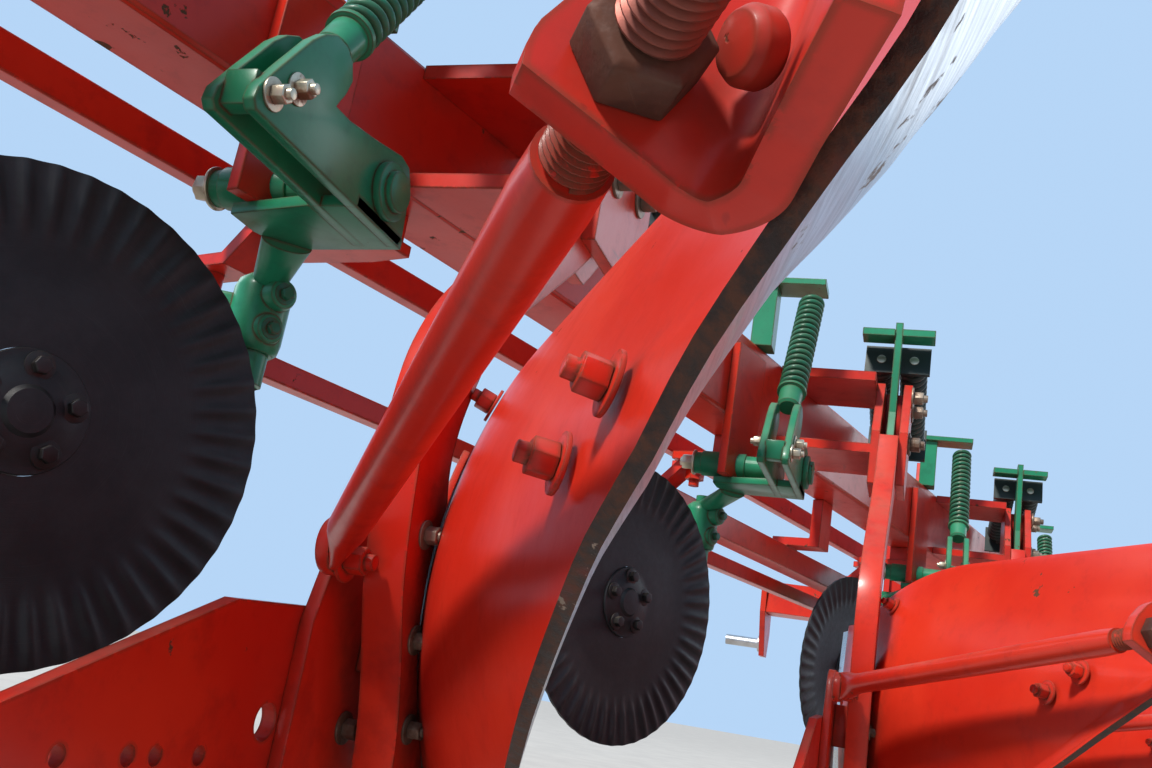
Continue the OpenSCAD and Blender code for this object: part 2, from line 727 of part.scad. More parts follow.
FIXED = [
    "main_beam", "brace_beam", "hangers", "tie_bars", "crank_arms", "cross_tube", "hitch_plates",
    "hitch_pins", "mast", "mast_strut", "leg_brackets", "legs", "frogs", "moldboards", "shins",
    "shares", "landsides", "landside_strips", "stays", "stay_brackets", "stay_nuts", "reset_posts",
    "reset_plates", "reset_springs", "coulter_hangers", "coulter_plates", "coulter_tubes",
    "coulter_springs", "coulter_hooks", "coulter_clamps", "wheel_arm", "wheel_spindle", "wheel_rim",
    "wheel_tyre", "stand_sleeve", "stand_leg"];
MOVING = ["coulter_arm_", "coulter_disc_", "coulter_hub_"];

placed() main_beam();
placed() brace_beam();
placed() hangers();
placed() tie_bars();
placed() crank_arms();
placed() cross_tube();
placed() hitch_plates();
placed() hitch_pins();
placed() mast();
placed() mast_strut();
placed() leg_brackets();
placed() legs();
placed() frogs();
placed() moldboards();
placed() shins();
placed() shares();
placed() landsides();
placed() landside_strips();
placed() stays();
placed() stay_brackets();
placed() stay_nuts();
placed() reset_posts();
placed() reset_plates();
placed() reset_springs();
placed() coulter_hangers();
placed() coulter_plates();
placed() coulter_tubes();
placed() coulter_springs();
placed() coulter_hooks();
placed() coulter_clamps();
placed() wheel_arm();
placed() wheel_spindle();
placed() wheel_rim();
placed() wheel_tyre();
placed() stand_sleeve();
placed() stand_leg();
for (k = [1:bodies]) placed() coulter_arm(k - 1);
for (k = [1:bodies]) placed() coulter_disc(k - 1);
for (k = [1:bodies]) placed() coulter_hub(k - 1);
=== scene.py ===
import bpy
from math import atan2, cos, hypot, pi, radians, sin
from mathutils import Matrix, Vector


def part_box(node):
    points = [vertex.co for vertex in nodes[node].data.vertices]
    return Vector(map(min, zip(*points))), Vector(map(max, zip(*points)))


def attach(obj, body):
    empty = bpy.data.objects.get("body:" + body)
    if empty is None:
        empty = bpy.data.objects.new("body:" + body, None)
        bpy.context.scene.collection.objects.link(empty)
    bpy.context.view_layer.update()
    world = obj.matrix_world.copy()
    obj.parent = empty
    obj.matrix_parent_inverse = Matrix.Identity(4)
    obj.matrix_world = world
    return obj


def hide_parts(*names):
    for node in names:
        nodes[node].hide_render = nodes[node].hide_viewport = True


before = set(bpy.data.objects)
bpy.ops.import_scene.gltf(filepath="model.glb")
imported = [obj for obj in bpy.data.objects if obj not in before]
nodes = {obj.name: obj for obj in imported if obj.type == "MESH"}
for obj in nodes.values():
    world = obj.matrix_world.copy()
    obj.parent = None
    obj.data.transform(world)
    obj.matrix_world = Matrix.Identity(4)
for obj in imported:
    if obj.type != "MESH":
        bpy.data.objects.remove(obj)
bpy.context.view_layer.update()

# Main sizes, in millimetres, as the solids have them. The line of body 0 is the place that they start from.
ORIGIN = Vector((1972.4303, -303.995, 0))
BODIES = 4
PITCH = 1030
FURROW = 305
BOARD_T = 8
LEG_SIDE, LEG_FAR_SIDE = -80, -46
FROG_SIDE = -24
LANDSIDE_SIDE = -12
THREAD_D, THREAD_CORE, THREAD_PITCH = 23, 9.8, 3.5
STAY_A = Vector((-52, -30.3, 315))
STAY_B = Vector((-573, -375, 397))
STAY_L = (STAY_B - STAY_A).length
CASTER = radians(25)
CLAMP = Vector((1199, -48, 584))


def lerp(a, b, t):
    return a + (b - a) * t


def within(t, low=0.0, high=1.0):
    return max(low, min(high, t))


def smooth(t):
    t = within(t)
    return t * t * (3 - 2 * t)


def at(x, y, z):
    return Matrix.Translation((x, y, z))


def turned(degrees, axis):
    return Matrix.Rotation(radians(degrees), 4, axis)


# ---- camera, floor and light

def set_camera():
    heading, pitch, roll = radians(19), radians(15.7), radians(9.6)
    ahead = Vector((cos(heading), sin(heading), 0))
    side = Vector((sin(heading), -cos(heading), 0))
    view = ahead * cos(pitch) + Vector((0, 0, sin(pitch)))
    level_up = Vector((0, 0, cos(pitch))) - ahead * sin(pitch)
    right = side * cos(roll) + level_up * sin(roll)
    up = level_up * cos(roll) - side * sin(roll)
    lens = bpy.data.cameras.new("plough_camera")
    lens.sensor_width = 36
    lens.lens = 34.375
    lens.clip_start = 0.02
    lens.clip_end = 100
    camera = bpy.data.objects.new("plough_camera", lens)
    bpy.context.scene.collection.objects.link(camera)
    camera.matrix_world = Matrix((
        (right.x, up.x, -view.x, -1.74243),
        (right.y, up.y, -view.y, -0.451005),
        (right.z, up.z, -view.z, 0.240),
        (0, 0, 0, 1)))
    bpy.context.scene.camera = camera


def add_lamp(name, place, target, power, colour, disc=0.0, spread=0.0):
    """A round lamp of the given disc, or without one a far lamp as even as daylight."""
    data = bpy.data.lights.new(name, "AREA" if disc else "SUN")
    if disc:
        data.shape = "DISK"
        data.size = disc
    else:
        data.angle = radians(spread)
    data.energy = power
    data.color = colour
    lamp = bpy.data.objects.new(name, data)
    bpy.context.scene.collection.objects.link(lamp)
    aim = (Vector(target) - Vector(place)).to_track_quat("-Z", "Y")
    lamp.matrix_world = Matrix.Translation(place) @ aim.to_matrix().to_4x4()


def set_light():
    bpy.context.scene.view_settings.view_transform = "Standard"
    add_lamp("key_lamp", (-4.4, 1.8, 4.9), (0, 0, 0), 4.2, (1.0, 0.96, 0.90), spread=8)
    add_lamp("side_lamp", (1.5, 6.5, 4.5), (0.2, 0, 0.5), 90, (0.93, 0.97, 1.0), disc=4.0)
    add_lamp("front_lamp", (6.5, -4.5, 3.5), (0.5, 0, 0.5), 70, (1.0, 0.98, 0.95), disc=4.0)
    world = bpy.data.worlds.new("pale_room")
    bpy.context.scene.world = world
    world.use_nodes = True
    tree = world.node_tree
    tree.nodes.clear()
    out = tree.nodes.new("ShaderNodeOutputWorld")
    room = add(tree, "ShaderNodeBackground", Color=(0.66, 0.80, 1.0, 1), Strength=0.20)
    seen = add(tree, "ShaderNodeBackground", Color=(0.47, 0.67, 0.93, 1), Strength=1.0)
    path = add(tree, "ShaderNodeLightPath").outputs
    mix = add(tree, "ShaderNodeMixShader")
    sources = (most(tree, path["Is Camera Ray"], path["Is Glossy Ray"]), room.outputs[0], seen.outputs[0])
    for place, source in enumerate(sources):
        tree.links.new(source, mix.inputs[place])
    wire(tree, mix.outputs[0], out, "Surface")


# ---- node helpers

def add(tree, kind, settings=None, **values):
    node = tree.nodes.new(kind)
    for key, value in (settings or {}).items():
        setattr(node, key, value)
    for key, value in values.items():
        node.inputs[key.replace("_", " ")].default_value = value
    return node


def wire(tree, source, target, name):
    tree.links.new(source, target.inputs[name])


def maths(tree, kind, a, b=None):
    node = tree.nodes.new("ShaderNodeMath")
    node.operation = kind
    node.use_clamp = kind in ("MULTIPLY", "ADD", "SUBTRACT")
    for place, value in ((0, a), (1, b)):
        if isinstance(value, (int, float)):
            node.inputs[place].default_value = value
        elif value is not None:
            tree.links.new(value, node.inputs[place])
    return node.outputs[0]


def times(tree, a, b):
    return maths(tree, "MULTIPLY", a, b)


def plus(tree, a, b):
    return maths(tree, "ADD", a, b)


def less(tree, a, b):
    return maths(tree, "SUBTRACT", a, b)


def most(tree, a, b):
    return maths(tree, "MAXIMUM", a, b)


def ranged(tree, value, low, high, to_low=0.0, to_high=1.0):
    node = add(tree, "ShaderNodeMapRange", {"interpolation_type": "SMOOTHSTEP"})
    given_values = {"Value": value, "From Min": low, "From Max": high, "To Min": to_low, "To Max": to_high}
    for name, given in given_values.items():
        if isinstance(given, (int, float)):
            node.inputs[name].default_value = given
        else:
            tree.links.new(given, node.inputs[name])
    return node.outputs["Result"]


def mixed(tree, mask, a, b):
    node = tree.nodes.new("ShaderNodeMix")
    node.data_type = "RGBA"
    for place, value in ((0, mask), (6, a), (7, b)):
        if isinstance(value, (int, float)):
            node.inputs[place].default_value = value
        elif isinstance(value, tuple):
            node.inputs[place].default_value = (*value, 1)
        else:
            tree.links.new(value, node.inputs[place])
    return node.outputs[2]


def tinted(tree, tone, mask, share, colour):
    return mixed(tree, times(tree, mask, share), tone, colour)


def noise(tree, where, scale, detail=4.0, rough=0.6):
    node = add(tree, "ShaderNodeTexNoise", Detail=detail, Roughness=rough)
    wire(tree, where, node, "Vector")
    if isinstance(scale, (int, float)):
        node.inputs["Scale"].default_value = scale
    else:
        wire(tree, scale, node, "Scale")
    return node.outputs["Fac"]


def mapped(tree, where, scale, turn=(0, 0, 0)):
    """The place given, turned and stretched."""
    node = add(tree, "ShaderNodeMapping", Scale=scale, Rotation=turn)
    wire(tree, where, node, "Vector")
    return node.outputs[0]


def new_group(name, takes, gives):
    tree = bpy.data.node_groups.new(name, "ShaderNodeTree")
    for label, kind, value in takes:
        made = tree.interface.new_socket(name=label, in_out="INPUT", socket_type=kind)
        if value is not None:
            made.default_value = value
    for label, kind in gives:
        tree.interface.new_socket(name=label, in_out="OUTPUT", socket_type=kind)
    start = tree.nodes.new("NodeGroupInput")
    end = tree.nodes.new("NodeGroupOutput")
    return tree, start.outputs, end


FLOAT = "NodeSocketFloat"
VECTOR = "NodeSocketVector"


def group_edge_wear():
    """Where the paint is rubbed off along edges and corners."""
    tree, take, end = new_group("edge_wear", [
        ("Vector", VECTOR, None), ("Width", FLOAT, 0.003), ("Amount", FLOAT, 0.5)], [("Mask", FLOAT)])
    bevel = add(tree, "ShaderNodeBevel", {"samples": 2})
    wire(tree, take["Width"], bevel, "Radius")
    true = add(tree, "ShaderNodeNewGeometry")
    dot = add(tree, "ShaderNodeVectorMath", {"operation": "DOT_PRODUCT"})
    tree.links.new(bevel.outputs[0], dot.inputs[0])
    tree.links.new(true.outputs["Normal"], dot.inputs[1])
    turned = less(tree, 1.0, dot.outputs["Value"])
    edge = ranged(tree, turned, 0.0, 0.12)
    broken = noise(tree, take["Vector"], 55.0, 6.0, 0.7)
    limit = less(tree, 1.0, take["Amount"])
    patch = ranged(tree, broken, less(tree, limit, 0.06), limit)
    wire(tree, times(tree, edge, patch), end, "Mask")
    return tree


def group_spots():
    """Chips and spots of a chosen size, with a second value that varies their colour."""
    tree, take, end = new_group("spots", [
        ("Vector", VECTOR, None), ("Scale", FLOAT, 30.0), ("Amount", FLOAT, 0.3), ("Soft", FLOAT, 0.04)],
        [("Mask", FLOAT), ("Tone", FLOAT)])
    fine = noise(tree, take["Vector"], take["Scale"], 5.0, 0.62)
    broad = noise(tree, take["Vector"], maths(tree, "DIVIDE", take["Scale"], 7.0), 2.0, 0.5)
    both = plus(tree, times(tree, fine, 0.62), times(tree, broad, 0.38))
    limit = less(tree, 1.0, take["Amount"])
    wire(tree, ranged(tree, both, limit, plus(tree, limit, take["Soft"])), end, "Mask")
    wire(tree, noise(tree, take["Vector"], times(tree, take["Scale"], 0.8), 3.0, 0.5), end, "Tone")
    for node in tree.nodes:
        if node.type == "MATH":
            node.use_clamp = False
    return tree


def group_scratches():
    """Thin lines, stretched along the first axis of the place given."""
    tree, take, end = new_group("scratches", [
        ("Vector", VECTOR, None), ("Scale", FLOAT, 60.0), ("Amount", FLOAT, 0.3)], [("Mask", FLOAT)])
    total = None
    for turn, reach in ((0.0, 0.03), (0.22, 0.05), (-0.4, 0.08)):
        place = mapped(tree, take["Vector"], (reach, 1.0, 1.0), (0.1 * turn, 0.3 * turn, turn))
        lines = noise(tree, place, take["Scale"], 3.0, 0.6)
        limit = less(tree, 0.86, times(tree, take["Amount"], 0.4))
        thin = ranged(tree, lines, limit, plus(tree, limit, 0.03))
        total = thin if total is None else most(tree, total, thin)
    wire(tree, total, end, "Mask")
    return tree


def group_dust_earth_and_shade():
    """Dust that lies on what faces upwards, and an occlusion mask of the corners that stands for earth and painted
    shade there.
    """
    tree, take, end = new_group("dust_earth_and_shade", [
        ("Vector", VECTOR, None), ("Reach", FLOAT, 0.03)], [("Dust", FLOAT), ("Earth_and_shade", FLOAT)])
    shape = add(tree, "ShaderNodeNewGeometry")
    parts = add(tree, "ShaderNodeSeparateXYZ")
    tree.links.new(shape.outputs["Normal"], parts.inputs[0])
    cloud = noise(tree, take["Vector"], 9.0, 6.0, 0.65)
    lying = times(tree, ranged(tree, parts.outputs["Z"], 0.2, 0.95), ranged(tree, cloud, 0.35, 0.7))
    wire(tree, lying, end, "Dust")
    # painted shade: occlusion marks the corners, where the materials lay a dark earth tint as if shaded
    near = add(tree, "ShaderNodeAmbientOcclusion", {"samples": 2, "only_local": False})
    wire(tree, take["Reach"], near, "Distance")
    corner_shade = ranged(tree, near.outputs["AO"], 0.75, 0.25)
    wire(tree, times(tree, corner_shade, ranged(tree, noise(tree, take["Vector"], 22.0, 5.0), 0.3, 0.65)), end, "Earth_and_shade")
    return tree


GROUPS = {
    "wear": group_edge_wear(), "spots": group_spots(), "scratches": group_scratches(), "dust": group_dust_earth_and_shade()}


def use(tree, which, where, **values):
    node = tree.nodes.new("ShaderNodeGroup")
    node.node_tree = GROUPS[which]
    wire(tree, where, node, "Vector")
    for key, value in values.items():
        node.inputs[key].default_value = value
    return node.outputs


def new_material(name):
    material = bpy.data.materials.new(name)
    material.use_nodes = True
    tree = material.node_tree
    tree.nodes.clear()
    out = tree.nodes.new("ShaderNodeOutputMaterial")
    shader = tree.nodes.new("ShaderNodeBsdfPrincipled")
    wire(tree, shader.outputs[0], out, "Surface")
    place = tree.nodes.new("ShaderNodeTexCoord")
    return material, tree, shader, place.outputs["Object"], place.outputs["UV"]


def raise_surface(tree, shader, height, depth, strength=0.6):
    bump = add(tree, "ShaderNodeBump", Strength=strength, Distance=depth)
    wire(tree, height, bump, "Height")
    wire(tree, bump.outputs[0], shader, "Normal")


# ---- finishes

# earth sets the share of the dark earth tint and painted shade in the occluded corners
def painted(name, colour, faded, shade, chips, wear, gloss, dust=0.35, earth=0.6, under=(0.05, 0.022, 0.013)):
    """Sprayed paint: faded in places, chipped to rusty steel, rubbed along edges, dusty on top."""
    material, tree, shader, where, _ = new_material(name)
    cloud = noise(tree, where, 3.2, 5.0, 0.6)
    fine = noise(tree, where, 26.0, 5.0, 0.65)
    tone = mixed(tree, ranged(tree, cloud, 0.38, 0.66), colour, faded)
    tone = tinted(tree, tone, ranged(tree, fine, 0.48, 0.72), 0.35, shade)
    soil_and_shade = use(tree, "dust", where, Reach=0.03)
    # painted shade: the occluded corners take a dark earth tint
    tone = tinted(tree, tone, soil_and_shade["Earth_and_shade"], earth, (0.060, 0.038, 0.025))
    tone = tinted(tree, tone, soil_and_shade["Dust"], dust, (0.30, 0.23, 0.17))
    scratch = use(tree, "scratches", where, Scale=70.0, Amount=0.32)["Mask"]
    tone = tinted(tree, tone, scratch, 0.45, shade)
    chip = use(tree, "spots", where, Scale=34.0, Amount=chips, Soft=0.012)
    rubbed = use(tree, "wear", where, Width=0.004, Amount=wear)["Mask"]
    bare = most(tree, chip["Mask"], rubbed)
    rust = mixed(tree, chip["Tone"], under, (0.16, 0.062, 0.028))
    wire(tree, mixed(tree, bare, tone, rust), shader, "Base Color")
    rough = plus(tree, gloss, times(tree, fine, 0.22))
    rough = plus(tree, rough, times(tree, soil_and_shade["Dust"], 0.3))
    rough = plus(tree, rough, times(tree, most(tree, bare, soil_and_shade["Earth_and_shade"]), 0.42))
    wire(tree, rough, shader, "Roughness")
    shader.inputs["Coat Roughness"].default_value = 0.16
    shader.inputs["IOR"].default_value = 1.38
    wire(tree, less(tree, 0.12, bare), shader, "Coat Weight")
    peel = times(tree, noise(tree, where, 240.0, 2.0), 0.10)
    high = less(tree, plus(tree, peel, 0.8), times(tree, chip["Mask"], 0.55))
    raise_surface(tree, shader, high, 0.0009)
    return material


def bare_steel(name, bright, dull, rust, rusted, rough, metal=1.0, grain=90.0):
    """Steel without paint: rolled or ground, with a film of rust that comes and goes."""
    material, tree, shader, where, _ = new_material(name)
    cloud = noise(tree, where, 11.0, 6.0, 0.65)
    fine = noise(tree, where, grain, 5.0, 0.6)
    tone = mixed(tree, ranged(tree, cloud, 0.35, 0.68), bright, dull)
    scratch = use(tree, "scratches", where, Scale=110.0, Amount=0.4)["Mask"]
    tone = tinted(tree, tone, scratch, 0.4, bright)
    spot = use(tree, "spots", where, Scale=42.0, Amount=rusted, Soft=0.10)
    red = mixed(tree, spot["Tone"], rust, tuple(0.45 * c for c in rust))
    soil_and_shade = use(tree, "dust", where, Reach=0.02)
    tone = mixed(tree, spot["Mask"], tone, red)
    # painted shade: the occluded corners take a dark earth tint
    tone = tinted(tree, tone, soil_and_shade["Earth_and_shade"], 0.6, (0.045, 0.030, 0.021))
    wire(tree, tinted(tree, tone, soil_and_shade["Dust"], 0.3, (0.26, 0.20, 0.15)), shader, "Base Color")
    covered = most(tree, spot["Mask"], soil_and_shade["Earth_and_shade"])
    wire(tree, less(tree, metal, times(tree, covered, 0.85)), shader, "Metallic")
    grainy = plus(tree, rough, times(tree, fine, 0.22))
    wire(tree, plus(tree, grainy, times(tree, covered, 0.35)), shader, "Roughness")
    high = plus(tree, times(tree, fine, 0.35), times(tree, spot["Mask"], 0.3))
    raise_surface(tree, shader, less(tree, high, times(tree, scratch, 0.2)), 0.0008)
    return material


def scoured_face():
    """The board's front: earth has polished it along its run, with a thin brown film left in streaks."""
    material, tree, shader, where, chart = new_material("scoured_board_face")
    streaks = mapped(tree, chart, (0.9, 26.0, 1.0))
    lines = noise(tree, streaks, 9.0, 7.0, 0.65)
    film = ranged(tree, noise(tree, streaks, 1.6, 5.0, 0.6), 0.50, 0.74)
    cloud = noise(tree, where, 6.0, 4.0)
    tone = mixed(tree, ranged(tree, lines, 0.35, 0.7), (0.50, 0.53, 0.56), (0.34, 0.36, 0.39))
    tone = tinted(tree, tone, film, 0.55, (0.24, 0.17, 0.12))
    spot = use(tree, "spots", where, Scale=60.0, Amount=0.40, Soft=0.03)
    wire(tree, tinted(tree, tone, spot["Mask"], 0.7, (0.14, 0.075, 0.045)), shader, "Base Color")
    covered = most(tree, times(tree, film, 0.5), spot["Mask"])
    wire(tree, less(tree, 1.0, times(tree, covered, 0.7)), shader, "Metallic")
    rough = plus(tree, 0.22, times(tree, lines, 0.24))
    wire(tree, plus(tree, rough, times(tree, covered, 0.35)), shader, "Roughness")
    raise_surface(tree, shader, plus(tree, times(tree, lines, 0.5), times(tree, cloud, 0.3)), 0.0006, 0.4)
    return material


def board_back():
    """The painted back of the board: sprayed red, with rubs and scratches that follow the tail edge, painted shadow
    streaks along it and painted shade in the corners.
    """
    material, tree, shader, where, chart = new_material("board_back_paint")
    cloud = noise(tree, where, 4.0, 5.0, 0.6)
    fine = noise(tree, where, 30.0, 6.0, 0.65)
    tone = mixed(tree, ranged(tree, cloud, 0.36, 0.66), (0.64, 0.024, 0.010), (0.72, 0.040, 0.016))
    tone = tinted(tree, tone, ranged(tree, fine, 0.5, 0.75), 0.3, (0.38, 0.016, 0.010))
    split = add(tree, "ShaderNodeSeparateXYZ")
    tree.links.new(chart, split.inputs[0])
    tail = ranged(tree, split.outputs["X"], 0.72, 0.985)
    along = mapped(tree, chart, (30.0, 1.4, 1.0), (0, 0, 0.06))
    lines = noise(tree, along, 3.4, 6.0, 0.7)
    # dark lines along the tail: rubbed paint and painted shadow lines
    level = less(tree, 0.72, times(tree, tail, 0.17))
    rub_and_shadow_lines = ranged(tree, lines, level, plus(tree, level, 0.05))
    # painted shadow: a dark smear in streaks along the tail edge
    tail_shadow_smear = times(tree, tail, ranged(tree, noise(tree, along, 1.1, 4.0), 0.50, 0.70))
    tone = tinted(tree, tone, tail_shadow_smear, 0.55, (0.20, 0.030, 0.022))
    tone = tinted(tree, tone, rub_and_shadow_lines, 0.8, (0.11, 0.030, 0.020))
    soil_and_shade = use(tree, "dust", where, Reach=0.035)
    # painted shade: the occluded corners take a dark earth tint
    tone = tinted(tree, tone, soil_and_shade["Earth_and_shade"], 0.7, (0.060, 0.036, 0.024))
    chip = use(tree, "spots", where, Scale=48.0, Amount=0.335, Soft=0.01)
    rust = mixed(tree, chip["Tone"], (0.05, 0.020, 0.012), (0.17, 0.070, 0.030))
    wire(tree, mixed(tree, chip["Mask"], tone, rust), shader, "Base Color")
    worn = most(tree, chip["Mask"], times(tree, rub_and_shadow_lines, 0.7))
    rough = plus(tree, 0.24, times(tree, fine, 0.24))
    wire(tree, plus(tree, rough, times(tree, worn, 0.4)), shader, "Roughness")
    shader.inputs["Coat Roughness"].default_value = 0.2
    shader.inputs["IOR"].default_value = 1.38
    wire(tree, less(tree, 0.12, worn), shader, "Coat Weight")
    peel = times(tree, noise(tree, where, 160.0, 3.0), 0.16)
    high = less(tree, plus(tree, peel, 0.7), times(tree, worn, 0.5))
    raise_surface(tree, shader, high, 0.0009)
    return material


def rolled_edge():
    """The board's bare edge: scaly dark rust with some bright nicks."""
    material, tree, shader, where, _ = new_material("rusty_board_edge")
    scale = noise(tree, where, 120.0, 7.0, 0.7)
    broad = noise(tree, where, 18.0, 4.0, 0.6)
    tone = mixed(tree, ranged(tree, scale, 0.38, 0.66), (0.020, 0.011, 0.009), (0.105, 0.040, 0.022))
    tone = mixed(tree, ranged(tree, broad, 0.58, 0.75), tone, (0.17, 0.022, 0.014))
    nick = use(tree, "spots", where, Scale=160.0, Amount=0.37, Soft=0.02)
    wire(tree, mixed(tree, nick["Mask"], tone, (0.34, 0.27, 0.22)), shader, "Base Color")
    wire(tree, times(tree, nick["Mask"], 0.8), shader, "Metallic")
    wire(tree, ranged(tree, scale, 0.3, 0.7, 0.42, 0.85), shader, "Roughness")
    raise_surface(tree, shader, scale, 0.0012, 0.9)
    return material


def disc_black():
    """The coulter disc: satin black, greyer where earth has rubbed it round."""
    material, tree, shader, where, chart = new_material("coulter_disc_black")
    cloud = noise(tree, where, 14.0, 5.0, 0.6)
    fine = noise(tree, where, 120.0, 5.0, 0.65)
    rings = noise(tree, mapped(tree, chart, (1.2, 60.0, 1.0)), 3.0, 5.0, 0.7)
    tone = mixed(tree, ranged(tree, cloud, 0.35, 0.7), (0.0085, 0.0090, 0.0105), (0.020, 0.021, 0.024))
    tone = tinted(tree, tone, ranged(tree, rings, 0.55, 0.75), 0.4, (0.060, 0.060, 0.062))
    spot = use(tree, "spots", where, Scale=55.0, Amount=0.34, Soft=0.05)
    tone = tinted(tree, tone, spot["Mask"], 0.5, (0.050, 0.036, 0.029))
    soil_and_shade = use(tree, "dust", where, Reach=0.02)
    wire(tree, tinted(tree, tone, soil_and_shade["Earth_and_shade"], 0.25, (0.05, 0.042, 0.036)), shader, "Base Color")
    wire(tree, plus(tree, 0.38, times(tree, fine, 0.28)), shader, "Roughness")
    shader.inputs["Metallic"].default_value = 0.25
    raise_surface(tree, shader, plus(tree, times(tree, fine, 0.4), times(tree, rings, 0.4)), 0.0006)
    return material


def tyre_rubber():
    material, tree, shader, where, _ = new_material("tyre_rubber")
    fine = noise(tree, where, 180.0, 5.0, 0.65)
    cloud = noise(tree, where, 9.0, 5.0)
    tone = mixed(tree, ranged(tree, cloud, 0.35, 0.7), (0.020, 0.020, 0.021), (0.038, 0.037, 0.036))
    soil_and_shade = use(tree, "dust", where, Reach=0.03)
    mud = most(tree, times(tree, soil_and_shade["Earth_and_shade"], 0.8), times(tree, soil_and_shade["Dust"], 0.4))
    wire(tree, mixed(tree, mud, tone, (0.19, 0.145, 0.105)), shader, "Base Color")
    wire(tree, ranged(tree, fine, 0.3, 0.7, 0.62, 0.88), shader, "Roughness")
    raise_surface(tree, shader, fine, 0.0008)
    return material


def floor_finish():
    material, tree, shader, where, _ = new_material("pale_floor")
    grain = noise(tree, where, 5.0, 6.0, 0.7)
    tone = mixed(tree, ranged(tree, grain, 0.3, 0.7), (0.50, 0.50, 0.495), (0.57, 0.57, 0.56))
    wire(tree, tone, shader, "Base Color")
    shader.inputs["Roughness"].default_value = 0.85
    return material


RED = painted("plough_red", (0.58, 0.020, 0.009), (0.68, 0.036, 0.014), (0.28, 0.010, 0.008), 0.345, 0.54, 0.22)
GREEN = painted("spring_unit_green",
    (0.010, 0.205, 0.098), (0.022, 0.285, 0.150), (0.006, 0.085, 0.048), 0.345, 0.58, 0.22)
DARK_GREEN = painted("spring_green",
    (0.008, 0.120, 0.066), (0.012, 0.165, 0.088), (0.004, 0.05, 0.030), 0.33, 0.50, 0.24)
SPRING_DARK = painted("reset_spring_dark",
    (0.016, 0.030, 0.030), (0.026, 0.048, 0.044), (0.008, 0.012, 0.012), 0.34, 0.45, 0.30)
RIM_WHITE = painted("wheel_rim_cream", (0.60, 0.60, 0.56), (0.70, 0.69, 0.64), (0.36, 0.34, 0.30), 0.34, 0.5, 0.26)
BACK = board_back()
EDGE = rolled_edge()
FACE = scoured_face()
DISC = disc_black()
RUBBER = tyre_rubber()
SHARE = bare_steel("scoured_share", (0.60, 0.62, 0.64), (0.40, 0.40, 0.40), (0.20, 0.095, 0.05), 0.40, 0.16)
STRIP = bare_steel("landside_strip_steel", (0.50, 0.50, 0.50), (0.30, 0.29, 0.28), (0.17, 0.080, 0.042), 0.47, 0.24)
RUSTY = bare_steel("rusty_nut_steel",
    (0.15, 0.075, 0.055), (0.075, 0.030, 0.022), (0.15, 0.045, 0.022), 0.56, 0.38, 0.75)
ZINC = bare_steel("pale_bolt_zinc", (0.62, 0.55, 0.42), (0.40, 0.34, 0.25), (0.22, 0.11, 0.055), 0.45, 0.26)
BLACK_BOLT = bare_steel("dark_bolt_steel",
    (0.040, 0.038, 0.038), (0.018, 0.016, 0.016), (0.070, 0.032, 0.022), 0.42, 0.34, 0.6)
PIN = bare_steel("pin_steel", (0.55, 0.55, 0.56), (0.38, 0.37, 0.36), (0.20, 0.10, 0.05), 0.40, 0.22)
STAND = bare_steel("stand_zinc", (0.50, 0.52, 0.54), (0.36, 0.37, 0.38), (0.19, 0.10, 0.055), 0.36, 0.34)
THREAD = bare_steel("oily_thread", (0.30, 0.075, 0.050), (0.14, 0.035, 0.024), (0.17, 0.040, 0.022), 0.47, 0.30, 0.5)
BOLT = bare_steel("weathered_bolt_steel",
    (0.36, 0.28, 0.21), (0.19, 0.13, 0.095), (0.15, 0.065, 0.035), 0.48, 0.34, 0.8)


# ---- modelling helpers

def clear_pick():
    if bpy.context.object and bpy.context.object.mode != "OBJECT":
        bpy.ops.object.mode_set(mode="OBJECT")
    bpy.ops.object.select_all(action="DESELECT")


def only(obj):
    clear_pick()
    bpy.context.view_layer.objects.active = obj
    obj.select_set(True)
    return obj


def pick(obj, faces=None, edges=None):
    """Goes into edit mode with just the faces or edges that pass the test picked."""
    only(obj)
    bpy.ops.object.mode_set(mode="EDIT")
    bpy.ops.mesh.select_mode(type="FACE" if faces else "EDGE")
    bpy.ops.mesh.select_all(action="DESELECT")
    bpy.ops.object.mode_set(mode="OBJECT")
    for item in (obj.data.polygons if faces else obj.data.edges):
        item.select = (faces or edges)(item)
    bpy.ops.object.mode_set(mode="EDIT")


def done(obj):
    bpy.ops.object.mode_set(mode="OBJECT")
    return obj


def pick_all(obj):
    only(obj)
    bpy.ops.object.mode_set(mode="EDIT")
    bpy.ops.mesh.select_all(action="SELECT")


def close_up(obj, merge=True, caps=True, near=0.01):
    """Joins the points that meet, fills the open ends and turns the faces outwards."""
    pick_all(obj)
    if merge:
        bpy.ops.mesh.remove_doubles(threshold=near)
    if caps:
        bpy.ops.mesh.fill_holes(sides=0)
    bpy.ops.mesh.normals_make_consistent(inside=False)
    return done(obj)


def tidy_normals(obj):
    return close_up(obj, caps=False, near=0.001)


def modify(obj, kind, **settings):
    only(obj)
    made = obj.modifiers.new(kind.lower(), kind)
    for key, value in settings.items():
        setattr(made, key, value)
    bpy.ops.object.modifier_apply(modifier=made.name)
    return obj


def smoothed(obj, angle=35):
    only(obj)
    bpy.ops.object.shade_smooth_by_angle(angle=radians(angle))
    return obj


def soften(obj, width, steps=2, angle=30):
    modify(obj, "BEVEL", width=width, segments=steps, limit_method="ANGLE", angle_limit=radians(angle))
    return smoothed(obj)


